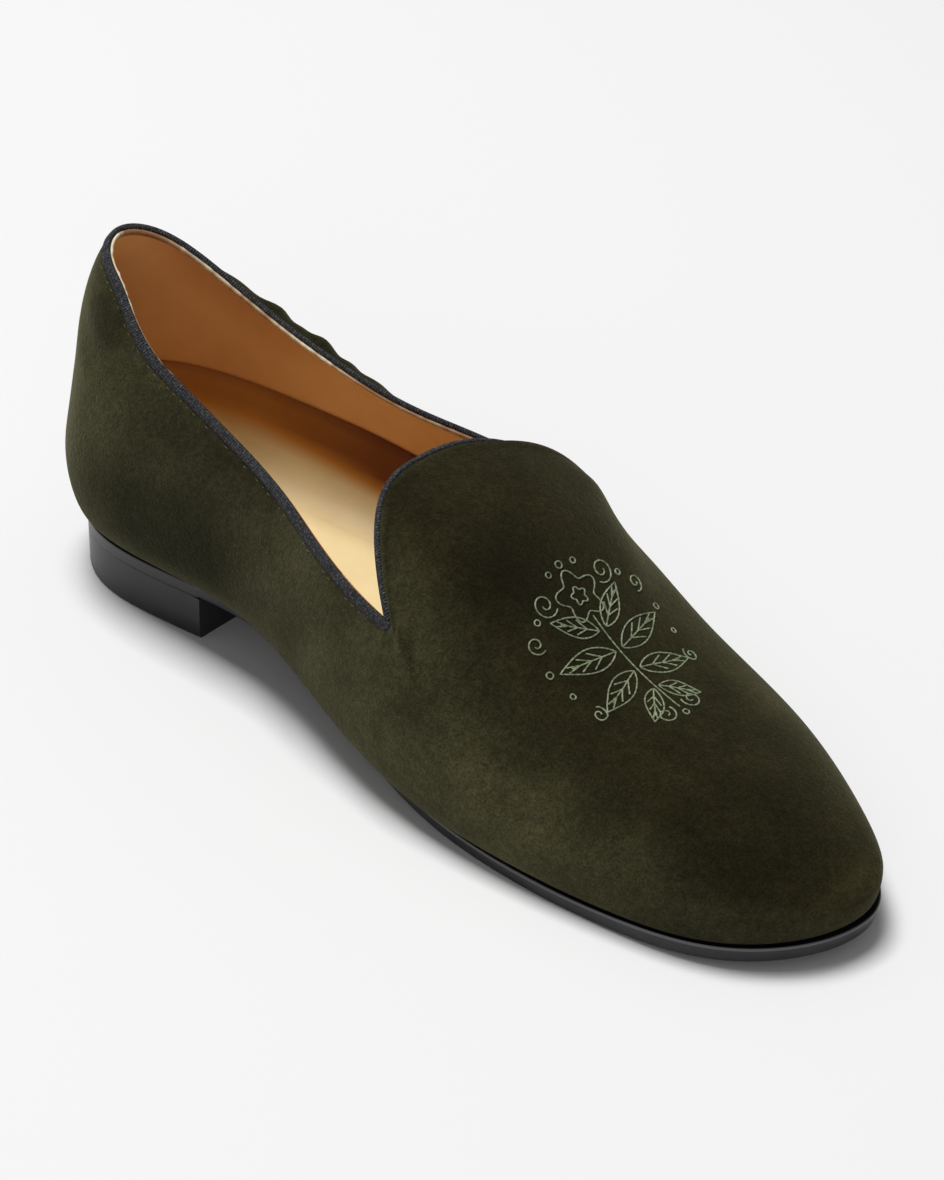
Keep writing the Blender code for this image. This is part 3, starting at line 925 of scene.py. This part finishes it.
def velvet_material():
    """Olive velvet with flecks and a pile: painted light makes it paler where it faces sideways and dark
    where it faces up, and its soft spots hold brushed pile with painted light and shade.
    """
    material = new_material("olive_velvet", VELVET_TOP, VELVET_ROUGHNESS, VELVET_SHINE)
    surface = surface_of(material)
    facing = add_node(material, "ShaderNodeNewGeometry")
    parts = add_node(material, "ShaderNodeSeparateXYZ")
    link(material, facing, "Normal", parts, "Vector")
    # Painted light: the velvet's colour turns paler the more its surface faces sideways, and darker where it
    # faces up.
    sideways = add_math(material, "ABSOLUTE", parts, "X")
    painted_side_light = add_ramp(material, sideways, "Value", VELVET_PAINTED_SIDE_LIGHT)
    # The mark of brushed pile and painted light and shade tints the velvet paler or darker.
    brushed_and_painted_light = add_mark(material, "brushed_and_painted_light")
    patches = add_noise(material, *PATCHES)
    flecks = add_noise(material, *FLECKS)
    pile = add_noise(material, *PILE)
    colour = painted_side_light.outputs["Color"]
    for source, tint in ((brushed_and_painted_light, BRUSHED_AND_LIGHT_TINT), (patches, PATCH_TINT), (flecks, FLECK_TINT), (pile, PILE_TINT)):
        colour = add_tint(material, colour, source, tint)
    bump = add_bump(material, flecks, "Fac", PILE_DEPTH)
    finish(material, colour, add_bump(material, pile, "Fac", PILE_DEPTH, bump))
    surface.inputs["Sheen Weight"].default_value = VELVET_SHEEN_WEIGHT
    surface.inputs["Sheen Roughness"].default_value = VELVET_SHEEN_ROUGHNESS
    surface.inputs["Sheen Tint"].default_value = (*VELVET_SHEEN, 1.0)
    return material


def ribbon_material(ribbon):
    """Ribbed slate ribbon with lighter specks; the marks run and inward are millimetres on the ribbon."""
    material = new_material(ribbon.name, RIBBON_DARK, RIBBON_ROUGHNESS, RIBBON_SHINE)
    specks = add_noise(material, *RIBBON_SPECKS)
    colours = add_ramp(material, specks, "Fac", RIBBON_COLOURS)
    lean = add_math(material, "MULTIPLY_ADD", add_mark(material, "inward"), "Fac", ribbon.slant)
    link(material, add_mark(material, "run"), "Fac", lean, 2)
    turn = add_math(material, "MULTIPLY", lean, "Value", 2 * pi / ribbon.period)
    ribs = add_math(material, "SINE", turn, "Value")
    bump = add_bump(material, ribs, "Value", RIB_DEPTH)
    finish(material, colours.outputs["Color"], add_bump(material, specks, "Fac", RIB_DEPTH, bump))
    return material


def leather_material(leather):
    """Leather or thread with soft patches of colour and a fine grain."""
    material = new_material(leather.name, leather.light, leather.roughness, LEATHER_SHINE)
    patches = add_noise(material, leather.patch, LEATHER_DETAIL, PATCH_ROUGHNESS)
    colours = add_ramp(material, patches, "Fac", tuple(zip(LEATHER_STOPS, (leather.dark, leather.light))))
    grains = add_noise(material, leather.grain, LEATHER_DETAIL, GRAIN_ROUGHNESS)
    finish(material, colours.outputs["Color"], add_bump(material, grains, "Fac", leather.depth))
    return material


def blend_in(material, mark, colour):
    """Gives a leather another colour where a mark on the mesh is 0; its own colours stay where it is 1."""
    base = surface_of(material).inputs["Base Color"]
    own = base.links[0].from_socket
    mix = add_node(material, "ShaderNodeMix", {"data_type": "RGBA"}, {MIX_FIRST: (*colour, 1.0)})
    link(material, add_mark(material, mark), "Fac", mix, MIX_FACTOR)
    material.node_tree.links.new(own, mix.inputs[MIX_SECOND])
    material.node_tree.links.new(mix.outputs[MIX_RESULT], base)


def paint_shade_by_mark(material, mark, stops):
    """Multiplies a leather's colours by colours that follow a mark on the mesh, to paint shade on it."""
    base = surface_of(material).inputs["Base Color"]
    shaded = multiply(material, base.links[0].from_socket, add_mark(material, mark), stops)
    material.node_tree.links.new(shaded, base)


def add_shell(name, pattern, outer, inner, material, marks=None):
    """A closed wall between two offsets of the last's surface, with the same marks on both faces."""
    points = np.stack([off_surface(pattern, outer), off_surface(pattern, inner)])
    return add_mesh(name, points, wall_faces(*pattern.shape[:2]), material, marks)


def soft_bump(distance, width):
    return np.exp(-(distance / width) ** 2)


def fold_lift(points):
    """Height of all listed folds at points of the last's surface."""
    lift = np.zeros(points.shape[:-1])
    for fold in FOLDS:
        start = np.array([fold.x, fold.along, fold.height], float)
        run = np.array([fold.end_x, fold.end_along, fold.end_height], float) - start
        share = np.clip(dot(points - start, run) / dot(run, run), 0, 1)
        distance = np.linalg.norm(points - start - share[..., None] * run, axis=-1)
        lift += fold.lift * soft_bump(distance, fold.width)
    return lift


def brushed_and_light_mark(points):
    """How pale the velvet is at points of the last's surface, from 0 (darkest) to 1 (palest): brushed pile
    with painted light and shade in its spots, and painted shade just above the feather edge.
    """
    mark = np.full(points.shape[:-1], BRUSHED_AND_LIGHT_MIDDLE)
    for spot in BRUSHED_AND_PAINTED_LIGHT:
        along = (points[..., 1] - spot.along) / spot.reach
        across = np.hypot(points[..., 0] - spot.x, points[..., 2] - spot.height) / spot.across
        mark += spot.shade * soft_bump(np.hypot(along, across), 1.0)
    # Painted shade: the velvet darkens just above the feather edge, where it meets the sole.
    above = points[..., 2] - feather_height(points[..., 1])
    mark -= FEATHER_PAINTED_SHADE * soft_bump(above, FEATHER_REACH)
    return np.clip(mark, 0, 1)


def puff_lift(points, below, lateral):
    """Height of the puffs under the collar's binding on the lateral side."""
    lift = np.zeros(points.shape[:-1])
    for puff in COLLAR_PUFFS:
        lift += puff.lift * soft_bump(points[..., 1] - puff.along, puff.reach)
    return lift * soft_bump(below - PUFF_BELOW, PUFF_REACH) * lateral


def wall_pattern(columns, rows, first):
    """Pattern points from a first offset below the edge down to the feather edge and under the insole."""
    start = columns.top + columns.lead * first[:, None]
    shares = np.linspace(0, 1, rows)
    body = start[:, None] + (columns.rim - start)[:, None] * shares[None, :, None]
    under = [along_ray(columns.rim, 1 + LASTING_MARGIN / LENGTH * share) for share in MARGIN_SHARES]
    return np.concatenate([body, np.stack(under, axis=1)], axis=1)


def add_velvet(columns):
    """The velvet skin: it dips under the bindings and has folds and puffs below them."""
    body = wall_pattern(columns, WALL_ROWS, columns.band + GAP)
    edge = np.stack([columns.top + columns.lead * (columns.band * share)[:, None]
                     for share in EDGE_SHARES], axis=1)
    pattern = np.concatenate([edge, body], axis=1)
    points = last_surface(pattern)
    below = distance_along(points, axis=1)
    quarter = (columns.kind == "quarter")[:, None]
    lateral = quarter & (columns.top[:, :1] > 0)
    past_binding = below - columns.band[:, None]
    roll = ROLL_LIFT * soft_bump(past_binding - ROLL_BELOW, ROLL_REACH)
    outer = fold_lift(points) + puff_lift(points, below, lateral) + np.where(quarter, 0.0, roll)
    outer *= np.clip(past_binding / ROLL_BELOW, 0, 1)
    outer[:, :len(EDGE_SHARES)] = np.where(columns.kind == "fan", 0.0, -VELVET_DIP)[:, None]
    inner = np.maximum(np.minimum(outer, 0) - VELVET_THICK, RIBBON_LIMIT - WALL)
    return add_shell("velvet", pattern, outer, inner, velvet_material(), {"brushed_and_painted_light": brushed_and_light_mark(points)})


def add_lining(columns):
    """The leather lining inside the velvet."""
    pattern = wall_pattern(columns, LINING_ROWS, np.zeros(len(columns.top)))
    return add_shell("lining", pattern, -VELVET_THICK - LAYER_GAP, -WALL, leather_material(LINING))


def ribbon_profile(width):
    """Closed section of a folded ribbon: (inward, out) from its outer edge over the fold and back."""
    face = np.linspace(1, 0, FACE_ROWS)
    rise = np.minimum(1, FACE_SLOPE * (1 - face))
    outer = together(width * face, RIBBON_EDGE + (RIBBON_PROUD - RIBBON_EDGE) * rise)
    turn = np.linspace(0, pi, FOLD_ROWS)
    middle, radius = (RIBBON_PROUD - RIBBON_BACK) / 2, (RIBBON_PROUD + RIBBON_BACK) / 2
    fold = together(-RIBBON_RISE * np.sin(turn), middle + radius * np.cos(turn))
    back = np.array([[RIBBON_TURN, -RIBBON_BACK], [RIBBON_TURN, -RIBBON_INSIDE], [width, -RIBBON_INSIDE]])
    return np.concatenate([outer, fold[1:], back, outer[:1]])


def add_ribbon(name, edge, material):
    """A binding folded over columns of the upper's open edge."""
    profile = np.stack([ribbon_profile(width) for width in edge.band])
    inward, out = profile[..., 0], profile[..., 1]
    pattern = edge.top[:, None] + edge.lead[:, None] * np.maximum(inward, 0)[..., None]
    lift = np.where(edge.kind == "fan", 0.0, 1.0)[:, None] * np.minimum(inward, 0)
    points = off_surface(pattern, out) + edge.direction[:, None] * lift[..., None]
    count, rows = inward.shape
    faces = grid_faces(count, rows)
    for end in (0, count - 1):
        faces.append(tuple(end * rows + row for row in range(rows - 1)))
    marks = {"run": distance_along(points[:, FACE_ROWS])[:, None], "inward": inward}
    return add_mesh(name, points, faces, material, marks)


def add_raw_edge(edge):
    """The pale raw edge of the lining that stands beside the collar's binding."""
    normal = surface_normals(edge.top)
    surface = last_surface(edge.top)
    medial, lateral = (table_value(RAW_SHOWN, side, surface[:, 1]) for side in ("medial", "lateral"))
    shown = np.where(edge.top[:, 0] < 0, medial, lateral)
    ragged = np.random.default_rng(RAW_SEED).uniform(*RAW_RAGGED, len(shown))
    wave = RAW_STEADY + (1 - RAW_STEADY) * np.sin(distance_along(surface) / RAW_WAVE)
    uneven = (shown * ragged * wave)[:, None]
    rows = []
    for corner in RAW_SECTION:
        lift = corner.rise * uneven if corner.rise > 0 else corner.rise
        foot = last_surface(edge.top + edge.lead * np.maximum(-lift, 0))
        inward = normal * (RIBBON_BACK + corner.inward)
        rows.append(foot - inward - edge.direction * np.maximum(lift, 0))
    points = np.stack(rows + rows[:1], axis=1)
    material = leather_material(RAW)
    blend_in(material, "pale_and_painted_light", RAW_HIDDEN)
    marks = {"pale_and_painted_light": np.clip(RAW_CONTRAST * uneven, 0, 1)}
    return add_mesh("raw_edge", points, grid_faces(*points.shape[:2]), material, marks)


def circling(side, ahead, radius, angle):
    """Points at given radii and angles round a (side, ahead) point."""
    return together(side + radius * np.cos(angle), ahead + radius * np.sin(angle))


def leaf_half(leaf, share):
    """Half the width of a leaf at a share of its length."""
    return leaf.width / 2 * np.sin(pi * share ** LEAF_BELLY)


def leaf_lines(leaf):
    """Outline, rib and veins of one leaf, turned to its angle and set in its place."""
    reach = np.linspace(0, 1, LEAF_POINTS)
    run, half = reach * leaf.length, leaf_half(leaf, reach)
    edge = np.concatenate([together(run, half), together(run, -half)[::-1]])
    lines = [edge, together(run * LEAF_RIB, 0 * run)]
    for share in np.linspace(*VEIN_SPAN, LEAF_VEINS):
        end = share + VEIN_SLANT
        tip = VEIN_REACH * leaf_half(leaf, end)
        for side in (1, -1):
            lines.append(np.array([[share * leaf.length, 0], [end * leaf.length, side * tip]]))
    angle = radians(leaf.angle)
    turn = np.array([[np.cos(angle), np.sin(angle)], [-np.sin(angle), np.cos(angle)]])
    return [line @ turn + (leaf.side, leaf.ahead) for line in lines]


def curl_line(curl):
    """A curl that winds in on itself."""
    share = np.linspace(0, 1, CURL_POINTS)
    angle = radians(curl.start) + share * curl.turns * 2 * pi
    return circling(curl.side, curl.ahead, curl.radius * (1 - CURL_CLOSE * share), angle)


def sprig_strokes():
    """Lines of the embroidered sprig as (side, ahead) points, with each side's mirror image."""
    blossom = SPRIG_BLOSSOM
    strokes = [np.array([[0.0, SPRIG_STEM_END], [0.0, blossom.ahead - blossom.radius]])]
    turn = np.linspace(0, 2 * pi, RING_POINTS)
    petal = blossom.radius * (1 + blossom.depth * np.cos(blossom.petals * turn))
    for scale in BLOSSOM_RINGS:
        strokes.append(circling(0.0, blossom.ahead, petal * scale, pi / 2 - turn))
    paired = [line for leaf in SPRIG_LEAVES for line in leaf_lines(leaf)]
    paired += [curl_line(curl) for curl in SPRIG_CURLS]
    for line in paired:
        strokes += [line, line * (-1, 1)]
    for dot in SPRIG_DOTS:
        for side in sorted({dot.side, -dot.side}):
            strokes.append(circling(side, dot.ahead, dot.radius, turn))
    return strokes


def even_steps(line, step):
    """A line with its points set an even step apart, and their distances from its start."""
    gone = distance_along(line)
    places = np.linspace(0, gone[-1], max(int(gone[-1] / step), LEAST_POINTS))
    return at_distance(line, gone, places), places


def in_plane(direction, normal):
    """A direction turned into the plane that is square to a normal."""
    return unit(direction - dot(direction, normal)[..., None] * normal)


def on_vamp(design):
    """Pattern points for (side, ahead) millimetres from the sprig's middle, walked over the surface."""
    pattern = np.tile([SPRIG_ACROSS, SPRIG_ALONG], (len(design), 1))
    to_side = np.array([1.0, 0.0, 0.0])
    to_tongue = np.array([0.0, -1.0, 0.0])
    for _ in range(SPRIG_STEPS):
        level = surface_normals(pattern)
        step = in_plane(to_side, level) * design[:, :1] + in_plane(to_tongue, level) * design[:, 1:]
        pattern = pattern + pattern_lead(pattern, step / SPRIG_STEPS)
    return pattern


def tube_rows(points, normal, radius):
    """Rings of a thread that lies on a surface."""
    run = unit(np.gradient(points, axis=0))
    side = unit(np.cross(run, normal))
    rings = []
    for corner in range(THREAD_SIDES + 1):
        angle = 2 * pi * corner / THREAD_SIDES
        rings.append(points + (np.cos(angle) * side + np.sin(angle) * normal) * radius[:, None])
    return np.stack(rings, axis=1)


def laid_strokes():
    """Every line of the sprig laid on the velvet."""
    laid = []
    for stroke in sprig_strokes():
        line, gone = even_steps(stroke, THREAD_STEP)
        pattern = on_vamp(line)
        points = off_surface(pattern, fold_lift(last_surface(pattern)))
        laid.append(Stroke(points, surface_normals(pattern), gone))
    return laid


def add_tubes(name, tubes, material):
    """Threads as one piece, from the rings of each."""
    faces, start = [], 0
    for tube in tubes:
        count, sides = tube.shape[:2]
        faces += grid_faces(count, sides, start)
        start += count * sides
    return add_mesh(name, np.concatenate(tubes), faces, material)


def add_sprig(name, strokes, size, rise, swell_share, material):
    """Threads along laid lines: their radius, how far they stand up and how much their stitches swell."""
    tubes = []
    for stroke in strokes:
        pinch = np.abs(np.cos(pi * stroke.gone / THREAD_STITCH)) ** THREAD_PINCH
        middle = stroke.points + stroke.normal * (rise - size)
        tubes.append(tube_rows(middle, stroke.normal, size * (1 - swell_share * pinch)))
    return add_tubes(name, tubes, material)


def add_stitches(edge):
    """A row of short stitches in the velvet below the collar's binding."""
    pattern = edge.top + edge.lead * (edge.band + STITCH_BELOW)[:, None]
    gone = distance_along(last_surface(pattern))
    depths = np.random.default_rng(STITCH_SEED)
    arc = STITCH_RADIUS * np.sin(np.linspace(0, pi, STITCH_POINTS))
    radius = np.full(STITCH_POINTS, STITCH_RADIUS)
    tubes = []
    for place in np.arange(STITCH_STEP, gone[-1] - STITCH_STEP, STITCH_STEP):
        line = at_distance(pattern, gone, np.linspace(place, place + STITCH_LENGTH, STITCH_POINTS))
        points = off_surface(line, arc - depths.uniform(0, STITCH_SUNK))
        tubes.append(tube_rows(points, surface_normals(line), radius))
    return add_tubes("collar_stitches", tubes, leather_material(STITCH))


def rim_plan(rim, outset):
    """Plan of an edge: its spine and how far each ray goes to the sole's edge and past it."""
    ray = rays(rim)
    spine = together(ray.spine_x, ray.spine_along)
    run = together(ray.step_x, ray.step_along) * (ray.length + outset)[:, None]
    return spine, run


def ahead_of_heel(rim):
    """0 over the heel's seat, 1 in front of it."""
    return np.clip((rays(rim).rim - HEEL_BREAST) / SEAT_EASE + 1, 0, 1)


def raised(plan, height, lift):
    """Plan points at the heights that a function of along gives them, plus a lift."""
    return np.concatenate([plan, height(plan[:, 1:]) + lift], axis=-1)


def add_plate(name, rim, sections, material, marks=None):
    """A closed plate over the sole's plan from its sections."""
    rows = []
    for section in sections:
        spine, run = rim_plan(rim, section.outset)
        rows.append(raised(spine + run * section.share, section.height, section.lift))
    points = np.stack(rows, axis=1)
    return add_mesh(name, points, grid_faces(*points.shape[:2], ring=True), material, marks)


def insole_outset(rim):
    """How far the insole's edge lies past the sole's edge, clear of the upper's inner wall."""
    ray = rays(rim)
    bulge = SWELL_OUT(ray.rim, ray.side)
    belt = SWELL_HEIGHT(ray.rim)
    tuck = bulge + TUCK
    drop = (belt - INSOLE_LIFT) / belt
    return bulge - tuck + tuck * (1 - drop ** CORNER_POWER) ** (1 / CORNER_POWER) - INSOLE_CLEAR


def insole_bottom(along):
    return feather_height(along) + WALL + GAP


def insole_top(along):
    return insole_bottom(along) + INSOLE_THICK


def add_insole(rim, material):
    """The insole board, flat from edge to edge."""
    outset = insole_outset(rim)
    sections = [Section(outset, share, insole_bottom, 0.0) for share in INSOLE_BOTTOM_SHARES]
    sections += [Section(outset, share, insole_top, 0.0) for share in INSOLE_TOP_SHARES]
    return add_plate("insole_board", rim, sections, material)


def add_sock_rim(columns):
    """The raised edge of the leather sock: from a line on the lining in a hollow curve to the insole, with
    painted shade that is brown high on its wall and fades to cream.
    """
    high = along_ray(columns.rim, SOCK_SHARE)
    high_point = off_surface(high, -WALL - SOCK_STAND)
    spine, run = rim_plan(columns.rim, insole_outset(columns.rim))
    reach = np.linalg.norm(run, axis=-1, keepdims=True)
    corner = raised(spine + run, insole_top, 0.0)
    inner = raised(spine + run * (1 - SOCK_REACH / reach), insole_top, LAYER_GAP)
    rows = [off_surface(high, -WALL - LAYER_GAP)]
    shares = np.linspace(0, 1, SOCK_ROWS)
    for share in shares:
        left = 1 - share
        rows.append(left ** 2 * high_point + 2 * share * left * corner + share * share * inner)
    points = np.stack(rows, axis=1)
    down = np.concatenate([[0], shares])
    # Painted shade: brown high on the sock's wall, fading to its cream lower down.
    end, cream, least = (
        table_value(SOCK_PAINTED_SHADE, column, high_point[:, 1])[:, None] for column in ("end", "cream", "least"))
    pale_and_painted_light = np.maximum(np.clip((down - end) / (cream - end), 0, 1), least)
    material = leather_material(SOCK)
    paint_shade_by_mark(material, "pale_and_painted_light", SOCK_PAINTED_SHADE_COLOURS)
    return add_mesh("sock_rim", points, grid_faces(*points.shape[:2], ring=True), material, {"pale_and_painted_light": pale_and_painted_light})


def add_outsole(rim, material):
    """The sole: a painted highlight line on its upper edge and a bevel below ahead of the heel, flush with it
    behind.
    """
    ahead = ahead_of_heel(rim)
    level = np.zeros(len(rim))
    lip = np.clip((rays(rim).rim - LIP_START) / (LIP_END - LIP_START), 0, 1)[:, None]
    bevel = (HEEL_INSET - SOLE_BOTTOM_INSET) * ahead - HEEL_INSET
    drop = -SEAT_DROP * (1 - ahead)[:, None]
    sections = [Section(level, share, sole_top, 0.0) for share in SOLE_SHARES]
    for row in SOLE_TOP_EDGE:
        lift = row.lift + row.lip * lip
        sections.append(Section(level + row.outset, 1.0, sole_top, lift, 1 - row.line * ahead))
    for row in SOLE_LOW_EDGE:
        outset = bevel + row.outset + row.ahead_outset * ahead
        lift = row.lift + row.ahead_lift * ahead[:, None] + row.drop * drop
        sections.append(Section(outset, 1.0, sole_underside, lift))
    sections += [Section(bevel, share, sole_underside, drop) for share in reversed(SOLE_SHARES)]
    # Painted highlight: a pale grey line along the sole's upper edge ahead of the heel
    blend_in(material, "trim", SOLE_PAINTED_HIGHLIGHT)
    blend_in(material, "ahead", HEEL.light)
    marks = {
        "trim": np.stack([np.broadcast_to(section.trim, len(rim)) for section in sections], axis=1),
        "ahead": ahead[:, None],
    }
    return add_plate("sole", rim, sections, material, marks)


def heel_outline(inset):
    """Plan of the heel from the medial end of its breast round the back to the lateral end."""
    front = np.linspace(HEEL_BREAST, HEEL_POLE, BREAST_COLUMNS)[:-1]
    spine, run = rim_plan(heel_round(front, 4 * HEEL_COLUMNS + 1), -inset)
    return spine + run


def add_heel(material):
    """The heel block with softly broken edges."""
    rows = []
    for row in HEEL_ROWS:
        plan = heel_outline(HEEL_INSET + HEEL_TAPER * (1 - row.height / (HEEL_HEIGHT - GAP)) + row.inset)
        rows.append(np.concatenate([plan, np.full((len(plan), 1), row.height)], axis=-1))
    points = np.stack(rows, axis=1)
    count, height = points.shape[:2]
    faces = grid_faces(count, height, ring=True)
    faces.append(tuple(corner * height for corner in range(count)))
    faces.append(tuple(corner * height + height - 1 for corner in range(count)))
    piece = add_mesh("heel_block", points, faces, material)
    piece.data.set_sharp_from_angle(angle=radians(HEEL_CREASE))
    return piece


def aimed(name, data, place, aim, roll=0.0):
    """A light or camera in its place, turned to look at a point."""
    thing = bpy.data.objects.new(name, data)
    thing.location = place
    level = (Vector(aim) - Vector(place)).to_track_quat("-Z", "Y")
    thing.rotation_euler = (level @ Quaternion((0, 0, 1), radians(roll))).to_euler()
    bpy.context.scene.collection.objects.link(thing)
    return thing


def add_light(row):
    lamp = bpy.data.lights.new(row.name, "AREA")
    lamp.shape = "RECTANGLE"
    lamp.energy = row.power
    lamp.size = row.wide
    lamp.size_y = row.tall
    aimed(row.name, lamp, row.place, LIGHT_AIM)


def add_studio():
    """A pale floor, soft light from above and a little behind, and the photograph's viewing angle."""
    mesh = bpy.data.meshes.new("floor")
    corners = [(x * FLOOR_HALF, y * FLOOR_HALF, 0) for x, y in ((-1, -1), (1, -1), (1, 1), (-1, 1))]
    mesh.from_pydata(corners, [], [(0, 1, 2, 3)])
    mesh.materials.append(new_material("pale_floor", FLOOR_COLOUR, FLOOR_ROUGHNESS, FLOOR_SHINE))
    floor = bpy.data.objects.new("floor", mesh)
    bpy.context.scene.collection.objects.link(floor)
    world = bpy.data.worlds.new("studio")
    world.use_nodes = True
    sky = world.node_tree.nodes["Background"]
    sky.inputs["Color"].default_value = (1.0, 1.0, 1.0, 1.0)
    sky.inputs["Strength"].default_value = SKY_STRENGTH
    bpy.context.scene.world = world
    for row in LIGHTS:
        add_light(row)
    lens = bpy.data.cameras.new("camera")
    lens.lens = CAMERA_LENS
    lens.sensor_width = CAMERA_SENSOR
    bpy.context.scene.camera = aimed("camera", lens, CAMERA_EYE, CAMERA_AIM, CAMERA_ROLL)
    bpy.context.scene.view_settings.view_transform = "Standard"


def dress():
    """Every piece of the shoe, each with its own material, with the solids that they replace hidden."""
    columns = columns_round()
    collar = pick(columns, columns.kind == "quarter")
    throat = pick(columns, columns.kind == "tongue")
    velvet = add_velvet(columns)
    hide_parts("upper")
    lining = add_lining(columns)
    fan_count = FAN_COLUMNS - 1
    around = np.arange(-fan_count, len(collar.kind) + fan_count) % len(columns.kind)
    quarter = add_ribbon("collar_ribbon", pick(columns, around), ribbon_material(COLLAR_RIBBON))
    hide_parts("quarter_binding")
    raw_edge = add_raw_edge(collar)
    stitches = add_stitches(collar)
    thread = leather_material(THREAD)
    strokes = laid_strokes()
    sprig = add_sprig("embroidery", strokes, THREAD_RADIUS, THREAD_RISE, THREAD_SWELL, thread)
    bed = add_sprig("pressed_nap", strokes, BED_RADIUS, BED_RISE, 0.0, leather_material(BED))
    tongue = add_ribbon("tongue_ribbon", throat, ribbon_material(TONGUE_RIBBON))
    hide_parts("vamp_binding")
    board = add_insole(columns.rim, leather_material(CREAM))
    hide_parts("insole")
    sock = add_sock_rim(columns)
    sole = add_outsole(columns.rim, leather_material(BLACK))
    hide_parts("outsole")
    heel = add_heel(leather_material(HEEL))
    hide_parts("heel")


dress()
add_studio()
